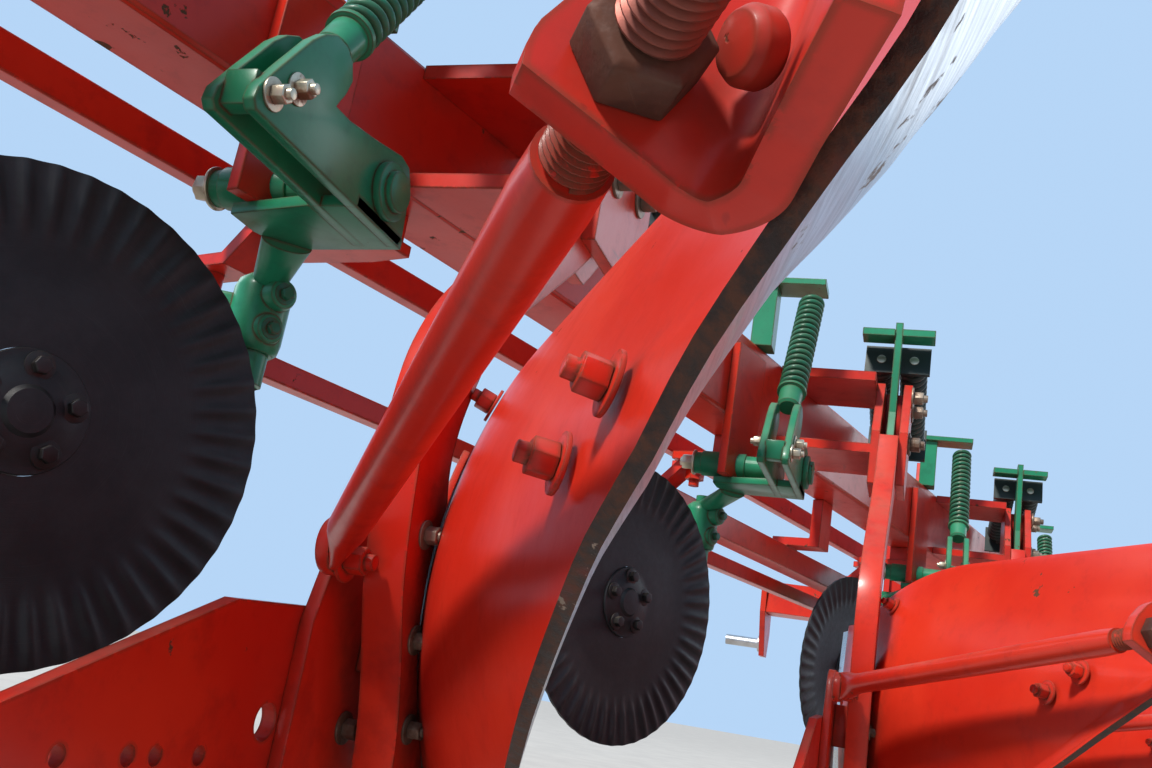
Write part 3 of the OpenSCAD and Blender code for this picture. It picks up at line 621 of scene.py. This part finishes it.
def rod(radius, length, sides=32, place=(0, 0, 0)):
    """A cylinder that stands on its place and goes up from it."""
    clear_pick()
    bpy.ops.mesh.primitive_cylinder_add(
        vertices=sides, radius=radius, depth=length, location=(place[0], place[1], place[2] + length / 2))
    obj = bpy.context.object
    bpy.ops.object.transform_apply(location=True, rotation=True, scale=True)
    return obj


def block(low, high):
    clear_pick()
    bpy.ops.mesh.primitive_cube_add(size=1)
    obj = bpy.context.object
    for v in obj.data.vertices:
        v.co = [low[i] if v.co[i] < 0 else high[i] for i in range(3)]
    return obj


def plate(outline, y0, y1):
    """A flat plate: an outline in x and z, made thick from y0 to y1."""
    clear_pick()
    bpy.ops.mesh.primitive_circle_add(vertices=len(outline), radius=1, fill_type="NGON")
    obj = bpy.context.object
    for v, (x, z) in zip(obj.data.vertices, outline):
        v.co = (x, y0, z)
    pick_all(obj)
    bpy.ops.mesh.extrude_region_move(TRANSFORM_OT_translate={"value": (0, y1 - y0, 0)})
    done(obj)
    return tidy_normals(obj)


def loft(across, along, shape, closed=True, caps=True):
    """A skin over a grid: shape(u, v) gives the place, u goes round and v goes along."""
    clear_pick()
    bpy.ops.mesh.primitive_grid_add(x_subdivisions=across, y_subdivisions=along, size=1)
    obj = bpy.context.object
    for v in obj.data.vertices:
        v.co = shape(v.co.x + 0.5, v.co.y + 0.5)
    return close_up(obj, closed, caps)


def lathe(profile, sides=48):
    """A turned piece round z, from points (radius, height)."""
    def shape(u, v):
        place = v * (len(profile) - 1)
        i = min(int(place), len(profile) - 2)
        r = lerp(profile[i][0], profile[i + 1][0], place - i)
        h = lerp(profile[i][1], profile[i + 1][1], place - i)
        return (r * cos(2 * pi * u), r * sin(2 * pi * u), h)
    return loft(sides, len(profile) - 1, shape)


def joined(*objs):
    clear_pick()
    for obj in objs:
        obj.select_set(True)
    bpy.context.view_layer.objects.active = objs[0]
    bpy.ops.object.join()
    return objs[0]


def moved(obj, matrix):
    obj.data.transform(matrix)
    if matrix.determinant() < 0:
        tidy_normals(obj)
    return obj


def copy_of(obj, matrix=None):
    twin = obj.copy()
    twin.data = obj.data.copy()
    bpy.context.scene.collection.objects.link(twin)
    if matrix is not None:
        moved(twin, matrix)
    return twin


def discard(obj):
    bpy.data.objects.remove(obj, do_unlink=True)


def coil(wire_d, outer_d, length, turns, sides=12, steps=28):
    """A round wire wound up along z, with its ends closed and ground flat."""
    clear_pick()
    middle = (outer_d - wire_d) / 2
    bpy.ops.mesh.primitive_circle_add(vertices=sides, radius=wire_d / 2,
                                      location=(middle, 0, wire_d / 2), rotation=(pi / 2, 0, 0))
    obj = bpy.context.object
    bpy.ops.object.transform_apply(location=True, rotation=True, scale=True)
    modify(obj, "SCREW", axis="Z", angle=2 * pi, iterations=turns, steps=steps, render_steps=steps,
           screw_offset=(length - wire_d) / turns, use_merge_vertices=False)
    return smoothed(close_up(obj), 60)


def thread(outer_d, length, pitch, steps=28):
    """A threaded length that goes up z from zero."""
    crest, root = outer_d / 2, outer_d / 2 - 0.62 * pitch
    clear_pick()
    points = [(root, 0), (crest, 0.40), (crest, 0.56), (root, 0.92), (root, 1)]
    bpy.ops.mesh.primitive_circle_add(vertices=len(points), radius=1)
    obj = bpy.context.object
    for v, (r, h) in zip(obj.data.vertices, points):
        v.co = (r, 0, h * pitch)
    last = len(points) - 1
    pick(obj, edges=lambda e: set(e.vertices) == {0, last})
    bpy.ops.mesh.delete(type="EDGE")
    done(obj)
    turns = max(1, round(length / pitch))
    modify(obj, "SCREW", axis="Z", angle=2 * pi, iterations=turns, steps=steps, render_steps=steps, screw_offset=pitch)
    return smoothed(close_up(obj), 30)


def hexagon(across_flats, height, chamfer=0.12):
    """A six-sided nut or head with its corners turned down at both ends."""
    r = across_flats / 3 ** 0.5
    obj = rod(r, height, 6)
    pick(obj, faces=lambda f: abs(f.normal.z) > 0.9)
    bpy.ops.mesh.inset(thickness=chamfer * r, depth=0)
    done(obj)
    for v in obj.data.vertices:
        if hypot(v.co.x, v.co.y) > 0.95 * r:
            v.co.z = min(max(v.co.z, chamfer * r * 0.55), height - chamfer * r * 0.55)
    return soften(obj, 0.02 * across_flats, 2, 20)


def washer(outer_d, height):
    return soften(rod(outer_d / 2, height, 36), 0.22 * height, 2)


def bolt(across_flats, stub=0.0):
    """A bolt end as it shows: a washer, then a head, or a nut with the thread's stub."""
    w = 0.16 * across_flats
    base = washer(across_flats * 1.85, w)
    if stub <= 0:
        head = moved(hexagon(across_flats, across_flats * 0.64), at(0, 0, w))
        return joined(base, head)
    nut = moved(hexagon(across_flats, across_flats * 0.82), at(0, 0, w))
    end = soften(rod(across_flats * 0.32, w + across_flats * 0.82 + stub, 24), across_flats * 0.05, 2)
    return joined(base, nut, end)


def aimed(point, way, spin=0.0):
    turn = Vector(way).to_track_quat("Z", "Y").to_matrix().to_4x4()
    return Matrix.Translation(point) @ turn @ turned(spin, "Z")


def body_place(k):
    return Matrix.Scale(0.001, 4) @ Matrix.Translation(Vector((k * PITCH, -k * FURROW, 0)) - ORIGIN)


def finish_piece(obj, name, material, body="frame", slot=None, stands_for=()):
    """Names the piece, gives it its finish and fixes it to its body."""
    obj.name = name
    obj.data.name = name
    if material is not None:
        obj.data.materials.clear()
        obj.data.materials.append(material)
    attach(obj, body)
    if stands_for:
        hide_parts(*stands_for)
    return obj


def on_each_body(obj, name, material, slot=None, stands_for=(), places=None):
    """Copies a piece to its places on every body, as one piece of the frame."""
    places = places or [Matrix.Identity(4)]
    twins = [copy_of(obj, body_place(k) @ place) for k in range(BODIES) for place in places]
    discard(obj)
    return finish_piece(joined(*twins), name, material, "frame", slot, stands_for)


# ---- the moldboards

def upper(z):
    """How far the board has changed from the share's angles to its own, without a crease."""
    t = z / 260
    if t < 0.72:
        return t
    if t > 1.28:
        return 1
    q = (t - 0.72) / 0.56
    return 0.72 + 0.28 * (2 * q - q * q)


def face_point(s, z):
    """A place on the body's face: s along its level line from the shin, z up."""
    front = lerp(42, 16, upper(z))
    line = lerp(42, 32, upper(z))
    turn = max(0.001, (line - front) / 280)
    c, m = min(s, 280), max(s - 280, 0)
    bend = 180 / pi / turn
    start = 92 + 80 * upper(z) + 0.0024 * (z - 300) ** 2
    x = start - (sin(radians(front + turn * c)) - sin(radians(front))) * bend - m * cos(radians(line))
    y = -22 - (cos(radians(front)) - cos(radians(front + turn * c))) * bend - m * sin(radians(line))
    return Vector((x, y, z))


def back_way(s, z):
    up = face_point(s, z + 2) - face_point(s, z - 2)
    fore = face_point(s - 2, z) - face_point(s + 2, z)
    return up.cross(fore).normalized()


def behind(s, z, depth):
    return face_point(s, z) + back_way(s, z) * depth


def tail_at(b):
    """How far back the tail edge is at a share b of the board's height."""
    full = smooth((b - 0.50) / 0.20) * smooth((0.97 - b) / 0.2)
    return lerp(290, 950, sin(pi / 2 * within(b)) ** 1.15) + 44 * full


def along_list(b, points):
    for (b0, v0), (b1, v1) in zip(points, points[1:]):
        if b <= b1:
            return lerp(v0, v1, (b - b0) / (b1 - b0))
    return points[-1][1]


LIP_WIDTH = [(0, 10), (0.2, 13), (0.3, 15), (0.5, 25), (0.6, 32), (0.66, 44), (0.72, 60), (0.85, 56), (1, 30)]
LIP_HEIGHT = [(0, 3), (0.2, 9), (0.3, 12), (0.4, 13), (0.5, 15), (0.56, 19), (0.62, 20), (0.65, 23),
              (0.7, 30), (0.85, 30), (1, 14)]
SWEEP = [(0, 0), (0.44, 0), (0.51, 4), (0.62, 4), (0.67, 10), (0.74, 14), (0.85, 12), (0.98, 0), (1, 0)]


def board_point(a, b):
    """The board's face, with a lip along the tail that turns back."""
    tail = tail_at(b)
    top = 520 - 95 * (1 - within(2.6 * a)) ** 2
    s, z = lerp(105.5, tail, a), lerp(108.5, top, b)
    run = (tail_at(b + 0.01) - tail_at(b - 0.01)) / 0.02
    from_edge = (tail - s) * 411 / hypot(411, run)
    lip = along_list(b, LIP_HEIGHT) * (1 - within(from_edge / along_list(b, LIP_WIDTH))) ** 1.35
    sweep = along_list(b, SWEEP) * smooth((s - 260) / (tail - 260))
    return behind(s, z, lip - sweep)


def make_moldboards():
    def shape(u, v):
        return board_point(1 - (1 - u) ** 1.9, v)
    board = loft(84, 56, shape, closed=False, caps=False)
    face = board.data.polygons[len(board.data.polygons) // 2]
    if face.normal.dot(back_way(400, 300)) > 0:
        board.data.flip_normals()
    for finish in (FACE, BACK, EDGE):
        board.data.materials.append(finish)
    modify(board, "SOLIDIFY", thickness=BOARD_T - 1, offset=-1, use_even_offset=True,
           material_offset=1, material_offset_rim=2)
    soften(board, 0.9, 2, 55)
    on_each_body(board, "curved_moldboards", None, "moldboard", ["moldboards"])


# ---- the stays and their brackets

def stay_frame():
    v = STAY_B - STAY_A
    az = atan2(v.y, v.x)
    el = atan2(v.z, hypot(v.x, v.y))
    return Matrix.Translation(STAY_A) @ Matrix.Rotation(az, 4, "Z") @ Matrix.Rotation(-el, 4, "Y")


ALONG_X = turned(90, "Y")


def make_stays():
    reach = STAY_L - 66
    start = Vector((-62, STAY_A.y, 319))
    slant = (STAY_B - start).to_track_quat("X", "Z").to_matrix().to_4x4()
    bar_frame = Matrix.Translation(start) @ slant

    def shape(u, v):
        x = lerp(-6, reach, v ** 2.2 if v < 1 else 1)
        flat = smooth((x - 14) / 52)
        wide = lerp(20.5, 14.4, flat)
        thin = lerp(6, 14.4, flat)
        turn = 2 * pi * u
        c, s = cos(turn), sin(turn)
        square = lerp(0.55, 1, flat)
        y = thin * (abs(s) ** square) * (1 if s > 0 else -1)
        if x < 14:
            wide *= max(0.05, (1 - ((14 - x) / 26) ** 2)) ** 0.5
        if x > reach - 4:
            y *= 0.93
            wide *= 0.93
        return (x, y, wide * c)
    bar = smoothed(loft(28, 60, shape), 40)
    eye = soften(rod(22, 12, 40), 1.6)
    moved(eye, bar_frame.inverted() @ at(start.x, start.y - 6, start.z) @ turned(-90, "X"))
    on_each_body(joined(bar, eye), "stay_bars", RED, "red_paint", ["stays"], [bar_frame])
    for name, length, x, core_x, finish, slot in (
            ("stay_threads_painted", 49, -68, -68, RED, "red_paint"),
            ("stay_threads", 56, -18.5, -19, THREAD, "rusty_steel")):
        ridges = moved(thread(THREAD_D, length, THREAD_PITCH), at(STAY_L + x, 0, 0) @ ALONG_X)
        core = moved(soften(rod(THREAD_CORE, length, 24), 1), at(STAY_L + core_x, 0, 0) @ ALONG_X)
        on_each_body(joined(ridges, core), name, finish, slot, (), [bar_frame])
    nut = moved(hexagon(30.5, 17), at(STAY_L - 10, 0, 0) @ ALONG_X)
    on_each_body(nut, "stay_lock_nuts", RUSTY, "rusty_steel", ["stay_nuts"], [stay_frame()])
    foot = aimed(start + Vector((6, -6, -8)), (0, -1, 0), 12)
    on_each_body(bolt(19, 7), "stay_foot_bolts", RED, "red_paint", (), [foot])


BRACKET_LOW = [(-28, -10), (0, -24), (16, -32), (30, -36), (46, -35), (64, -31), (200, -29)]
BRACKET_HIGH = [(-28, -4), (-26, 4), (-18, 17), (-5, 30), (12, 40), (34, 62), (60, 70), (200, 70)]


def make_stay_brackets():
    """One thick plate bent round: the stay goes through one half, and the other lies on the board."""
    lean = radians(14.4)
    closed = radians(100)
    bend_r = 17
    flat_a = 36 - bend_r
    arc = bend_r * closed
    total = 28 + flat_a + arc + 60

    def path(t):
        if t < 28 + flat_a:
            return 0, t - 28
        t -= 28 + flat_a
        turn = min(t / bend_r, closed)
        x, y = bend_r * (1 - cos(turn)), flat_a + bend_r * sin(turn)
        rest = max(0, t - arc)
        return x + rest * sin(closed), y + rest * cos(closed)

    def shape(u, v):
        t = u * total
        x, y = path(t)
        z = lerp(along_list(t - 28, BRACKET_LOW), along_list(t - 28, BRACKET_HIGH), v)
        offset = (z + 26) * sin(lean) * smooth(y / 37)
        return (STAY_L - 16 + x, y + offset, z)
    bent = loft(96, 18, shape, closed=False, caps=False)
    modify(bent, "SOLIDIFY", thickness=13, offset=0, use_even_offset=True)
    tidy_normals(bent)
    soften(bent, 1.3, 3, 50)
    on_each_body(bent, "bent_stay_brackets", RED, "red_paint", ["stay_brackets"], [stay_frame()])
    pad = soften(lathe([(0.5, 0), (9.5, 0), (10.5, 2), (10.5, 7), (8.5, 10), (0.5, 11)], 36), 0.5)
    spot = stay_frame() @ aimed((STAY_L + 6, 30, 4), (0.18, -1, -0.25))
    on_each_body(pad, "bracket_bolts", RED, "red_paint", (), [spot])


# ---- bolts on the bodies

def make_body_bolts():
    spots = ((650, 361), (592, 336), (222, 457))
    nuts = [aimed(behind(s, z, BOARD_T), back_way(s, z), 17 * (s % 5)) for s, z in spots]
    on_each_body(bolt(16, 6), "board_nuts", RED, "red_paint", (), nuts)
    sides = [aimed((x, LEG_SIDE, z), (0, -1, 0), spin) for x, z, spin in ((-20, 341, 10), (-2, 262, 40), (18, 196, 25))]
    on_each_body(bolt(12.5, 2), "leg_side_bolts", BOLT, "rusty_steel", (), sides)
    frogs = [aimed((20, FROG_SIDE, 188), (0, -1, 0), 5)]
    on_each_body(bolt(14, 3), "frog_bolts", BOLT, "rusty_steel", (), frogs)
    strip = [aimed((x, LANDSIDE_SIDE, 62), (0, -1, 0), x % 60) for x in (-470, -360, -250, -140, -20, 90)]
    on_each_body(bolt(16, 5), "landside_strip_bolts", BLACK_BOLT, "rusty_steel", (), strip)
    spots = ((250, 790), (250, 880), (345, 812), (345, 880))
    low = [aimed((x, -96, z), (0, -1, 0), z % 60) for x, z in spots]
    on_each_body(bolt(22, 8), "leg_bracket_bolts", BOLT, "pin_steel", (), low)


# ---- springs

def reset_place():
    return at(315, -63, 972) @ turned(102, "Y")


def make_springs():
    wound = coil(15.5, 54, 330, 14)
    places = [reset_place() @ at(0, side * 31, 0) for side in (-1, 1)]
    on_each_body(wound, "reset_coils", SPRING_DARK, "green_paint", ["reset_springs"], places)
    guide = soften(rod(9, 352, 20, (0, 0, -10)), 1)
    on_each_body(guide, "reset_guide_rods", ZINC, "pin_steel", (), places)
    lean = at(1004, -213, 792) @ turned(33, "Y")
    small = coil(10, 48, 265, 17)
    on_each_body(small, "coulter_coils", DARK_GREEN, "green_paint", ["coulter_springs"], [lean])
    core = soften(rod(7, 262, 20), 1)
    on_each_body(core, "coulter_spring_rods", ZINC, "pin_steel", (), [lean])


# ---- the legs

LEG_FRONT = [(90, 148), (92, 200), (88, 240), (80, 276), (50, 316), (20, 352), (4, 390), (4, 424), (16, 462),
             (42, 512), (92, 566), (162, 622), (236, 682), (290, 738), (323, 790)]
LEG_REAR = [(195, 790), (158, 720), (104, 654), (40, 594), (-12, 540), (-42, 492), (-54, 450), (-56, 410),
            (-50, 350), (-38, 294), (-14, 235), (0, 190), (6, 148)]


def curve_through(points, steps=4):
    """A smooth line through the points, which it passes one by one."""
    line = []
    for i in range(len(points) - 1):
        p0, p1, p2, p3 = (Vector(points[max(0, min(len(points) - 1, j))]) for j in (i - 1, i, i + 1, i + 2))
        for k in range(steps):
            t = k / steps
            line.append(0.5 * (2 * p1 + (p2 - p0) * t + (2 * p0 - 5 * p1 + 4 * p2 - p3) * t * t
                               + (3 * p1 - p0 - 3 * p2 + p3) * t ** 3))
    line.append(Vector(points[-1]))
    return [(p.x, p.y) for p in line]


def make_legs():
    outline = [LEG_FRONT[0]] + curve_through(LEG_FRONT[1:]) + curve_through(LEG_REAR)
    leg = plate(outline, LEG_SIDE, LEG_FAR_SIDE)

    def beyond(u, v):
        z, i = lerp(100, 460, v), round(u * 21) % 21
        if i > 16:
            return ((-110, -700), (300, -700), (700, -700), (700, -4.4))[i - 17] + (z,)
        p = behind(20 * i, z, 9)
        return (p.x, p.y, z)
    room = loft(21, 20, beyond)
    tidy_normals(room)
    modify(leg, "BOOLEAN", operation="DIFFERENCE", object=room, solver="EXACT")
    discard(room)
    soften(leg, 2.6, 3, 40)
    on_each_body(leg, "curved_legs", RED, "red_paint", ["legs"])


def skin_behind(s0, s1, z0, z1, near, far):
    """A pad that follows the back of the board or of the share."""
    def shape(u, v):
        return behind(lerp(s0, s1, u), lerp(z0, z1, v), (near + far) / 2)
    pad = loft(12, 12, shape, closed=False, caps=False)
    modify(pad, "SOLIDIFY", thickness=far - near, offset=0)
    return tidy_normals(pad)


def make_frogs():
    """The plate that joins landside, leg and board, with a pad behind each wearing part."""
    outline = [(-60, 110), (-60, 262)] + curve_through([(-60, 262), (-42, 322), (-30, 341), (-14, 346)]) + [
        (26, 346), (50, 336), (62, 322), (85, 230), (140, 120), (140, 45), (40, 45)]
    cheek = soften(plate(outline, FROG_SIDE, LANDSIDE_SIDE), 1.6)
    seat = soften(block((20, LEG_FAR_SIDE, 232), (70, FROG_SIDE, 296)), 1.6)
    upper_pad = soften(skin_behind(60, 132, 190, 430, 9.6, 16), 1.2)
    lower_pad = soften(skin_behind(4, 150, 48, 106, 11.8, 31), 1.6)
    on_each_body(joined(cheek, seat, upper_pad, lower_pad), "frog_castings", RED, "red_paint", ["frogs"])


# ---- the coulter's mounting

FORK = [(866, 640), (868, 652), (889, 684), (919, 728), (934, 744), (950, 754), (968, 755), (982, 747), (989, 732),
        (984, 716), (974, 698), (1000, 699), (1050, 708), (1100, 719), (1118, 716), (1129, 700), (1134, 646),
        (1128, 634), (872, 633)]


def make_coulter_forks():
    """Two cheeks with a floor between them, the boss of the tube, and the neck down to the clamp."""
    pieces = [soften(plate(FORK, y, y + 12), 1.6, 3, 24) for y in (-238, -200)]
    floor_line = [(1040, -238), (1136, -238), (1145, -118), (1134, -100), (1103, -87), (1062, -87), (1040, -186)]
    floor = moved(plate(floor_line, -12, 0), turned(-90, "X"))
    tidy_normals(floor)
    moved(floor, at(0, 0, 646 - max(v.co.z for v in floor.data.vertices)))
    pieces.append(soften(floor, 1.4, 2, 30))
    for radius, length, sides, edge, y in ((29, 9, 40, 1.8, -238), (20, 8, 32, 1.2, -246), (22, 78, 32, 1.4, -60)):
        pieces.append(moved(soften(rod(radius, length, sides), edge), at(1085, y, 672) @ turned(90, "X")))
    pieces.append(soften(block((874, -228, 640), (892, -198, 672)), 2))
    seat = lathe([(1, -44), (15, -44), (19, -40), (20, -6), (24.5, -5), (25, 0), (1, 0)], 32)
    smoothed(seat, 40)
    pieces.append(moved(seat, at(1004, -213, 792) @ turned(33, "Y")))

    def neck(u, v):
        t = 2 * pi * u
        centre = Vector((1128, -112, 634)).lerp(Vector((1196, -52, 612)), v)
        across = Vector((60, -68, 0)).normalized()
        return centre + across * (lerp(26, 17, v) * cos(t)) + Vector((0, 0, lerp(9, 17, v) * sin(t)))
    pieces.append(smoothed(loft(20, 10, neck), 40))
    on_each_body(joined(*pieces), "coulter_forks", GREEN, "green_paint", ["coulter_plates"])
    ends = [aimed((1085, -48, 672), (0, 1, 0), 12)]
    on_each_body(bolt(24, 4), "coulter_tube_bolts", ZINC, "pin_steel", (), ends)
    pins = [aimed((914, -238, 677), (0, -1, 0), 20), aimed((914, -188, 677), (0, 1, 0), 5),
            aimed((886, -238, 655), (0, -1, 0), 8)]
    on_each_body(bolt(15, 5), "fork_bolts", ZINC, "pin_steel", (), pins)


def make_coulter_clamps():
    """A forged clamp round the stem, with two bosses on its side and a split lug behind."""
    body = smoothed(lathe([(15.5, -49), (25, -49), (29, -45), (31, -34), (31, 20), (28, 30), (20, 37), (14, 38),
                           (14, 50), (0.5, 50)], 40), 40)
    pieces = [body]
    for z, out in ((14, 44), (-24, 34)):
        boss = smoothed(lathe([(0.5, 0), (17, 0), (17.5, out - 6), (15.5, out - 1.5), (12, out), (0.5, out)], 32), 40)
        pieces.append(moved(boss, aimed((0, 0, z), (-0.42, -0.9, 0))))
    lug = soften(block((-13, 18, -30), (13, 47, 12)), 4, 3)
    pieces.append(moved(lug, turned(25, "Z")))
    place = Matrix.Translation(CLAMP)
    on_each_body(joined(*pieces), "coulter_clamp_forgings", GREEN, "green_paint", ["coulter_clamps"], [place])
    screws = [place @ aimed((-0.42 * out, -0.9 * out, z), (-0.42, -0.9, 0), z % 60) for z, out in ((14, 43), (-24, 33))]
    on_each_body(bolt(13), "clamp_screws", DARK_GREEN, "green_paint", (), screws)


# ---- coulter discs

def caster_place(k):
    return body_place(k) @ at(CLAMP.x, CLAMP.y, 0) @ Matrix.Rotation(-CASTER, 4, "Z")


DISC_AT = at(-212, -21, 404) @ turned(90, "X")
DISC_EDGE = 228.5
DISC_FLUTES = 48
BOLT_RING = 42.14


def make_discs():
    edge = DISC_EDGE

    def shape(u, v):
        r = lerp(58, edge, v ** 0.9)
        rise = smooth((r / edge - 0.70) / 0.09) * (1 - 0.85 * smooth((r / edge - 0.95) / 0.05))
        wave = sin(2 * pi * DISC_FLUTES * u)
        wave = wave * abs(wave) ** 0.3 if wave > 0 else 0.35 * wave
        dish = 7.6 * smooth((r - 120) / (edge - 120)) * 0.9
        return (r * cos(2 * pi * u), r * sin(2 * pi * u), dish + 2.5 + 3.0 * rise * wave)
    made = loft(384, 16, shape, closed=True, caps=False)
    modify(made, "SOLIDIFY", thickness=4.6, offset=0)
    smoothed(made, 50)
    hub = lathe([(12.2, -13), (38, -13), (40, -11), (40, -5), (57, -4), (57.7, -2.5), (57.7, 6.5), (56.5, 8),
                 (46, 8.2), (42, 10.5), (24, 12.5), (20, 16.5), (0.5, 17.5)], 64)
    smoothed(hub, 32)
    head = bolt(15)
    heads = []
    for i in range(5):
        turn = radians(72 * i + 20)
        place = at(BOLT_RING * cos(turn), BOLT_RING * sin(turn), 9.2)
        heads.append(copy_of(head, place @ Matrix.Rotation(turn, 4, "Z")))
    discard(head)
    bolts = joined(*heads)
    for k in range(BODIES):
        place = caster_place(k) @ DISC_AT
        disc, hub_node = f"coulter_disc_{k + 1}", f"coulter_hub_{k + 1}"
        finish_piece(copy_of(made, place), f"fluted_disc_{k + 1}", DISC, disc, "disc_steel", [disc])
        finish_piece(copy_of(hub, place), f"disc_hub_{k + 1}", DISC, disc, "disc_steel", [hub_node])
        finish_piece(copy_of(bolts, place), f"disc_bolts_{k + 1}", BLACK_BOLT, disc, "rusty_steel")
    for obj in (made, hub, bolts):
        discard(obj)


# ---- the depth wheel

def make_wheel():
    """A ribbed tyre and the fixings of its rim, where the wheel's own solids are."""
    low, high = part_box("wheel_tyre")
    place = Matrix.Translation((Vector(low) + Vector(high)) / 2) @ Matrix.Scale(0.001, 4) @ turned(-90, "X")
    side = [(190, -66), (194, -78), (200, -86), (214, -88), (226, -87.5), (229, -89.5), (234, -89.5), (237, -87),
            (258, -85), (270, -80), (279, -73), (286, -66), (289, -61)]
    ribs = [(290, -58), (290, -43), (282, -41), (282, -35), (290, -33), (290, -13), (281, -11), (281, -5)]
    half = side + ribs
    tyre = lathe(half + [(r, -h) for r, h in reversed(half)] + [half[0]], 96)
    smoothed(tyre, 32)
    finish_piece(moved(tyre, place), "ribbed_tyre", RUBBER, "depth_wheel", "tyre", ["wheel_tyre"])
    nut = bolt(19, 5)
    nuts = [copy_of(nut, turned(72 * i, "Z") @ at(68, 0, 20)) for i in range(5)]
    discard(nut)
    finish_piece(moved(joined(*nuts), place), "wheel_nuts", BOLT, "depth_wheel", "pin_steel")


# ---- carried-over solids

# What isn't listed is red, with a narrow soft edge.
NODE_FINISH = {
    "hitch_pins": PIN, "shins": SHARE, "shares": SHARE, "landside_strips": STRIP, "stay_nuts": RUSTY,
    "reset_posts": GREEN, "reset_plates": SPRING_DARK, "reset_springs": SPRING_DARK, "coulter_plates": GREEN,
    "coulter_tubes": GREEN, "coulter_springs": DARK_GREEN, "coulter_hooks": GREEN, "coulter_clamps": GREEN,
    "coulter_arm": GREEN, "coulter_disc": DISC, "coulter_hub": DISC, "wheel_rim": RIM_WHITE,
    "wheel_tyre": RUBBER, "stand_leg": STAND}
SOFT_EDGE = {
    "main_beam": 0.006, "brace_beam": 0.006, "cross_tube": 0.006, "mast_strut": 0.004, "wheel_arm": 0.003,
    "tie_bars": 0.002, "hitch_pins": 0.002, "hangers": 0.0015, "crank_arms": 0.0015, "hitch_plates": 0.0015,
    "mast": 0.0015, "wheel_spindle": 0.0015, "wheel_rim": 0.0015, "stand_leg": 0.0015, "coulter_arm": 0.0015,
    "reset_plates": 0.001, "shins": 0.0008, "landsides": 0}


def dress_solids():
    """Gives every carried-over solid its finish, and most of them a soft edge."""
    for name, obj in nodes.items():
        base = name.rstrip("0123456789").rstrip("_")
        finish = NODE_FINISH.get(base, RED)
        if not obj.data.materials:
            obj.data.materials.append(finish)
        for i in range(len(obj.data.materials)):
            obj.data.materials[i] = finish
        width = SOFT_EDGE.get(base, 0.0012)
        if width and not obj.hide_render:
            weld = obj.modifiers.new("weld", "WELD")
            weld.merge_threshold = 0.00005
            edge = obj.modifiers.new("edge", "BEVEL")
            edge.width = width
            edge.segments = 2
            edge.limit_method = "ANGLE"
            edge.angle_limit = radians(38)
            edge.use_clamp_overlap = True
            edge.harden_normals = False
            for face in obj.data.polygons:
                face.use_smooth = False


def make_floor():
    clear_pick()
    bpy.ops.mesh.primitive_plane_add(size=60, location=(0, 0, -0.001))
    floor = bpy.context.object
    bpy.ops.object.transform_apply(location=True, rotation=True, scale=True)
    floor.name = "pale_floor"
    floor.data.materials.append(floor_finish())


set_camera()
set_light()
make_floor()
make_moldboards()
make_stays()
make_stay_brackets()
make_legs()
make_frogs()
make_body_bolts()
make_springs()
make_coulter_forks()
make_coulter_clamps()
make_discs()
make_wheel()
dress_solids()
clear_pick()
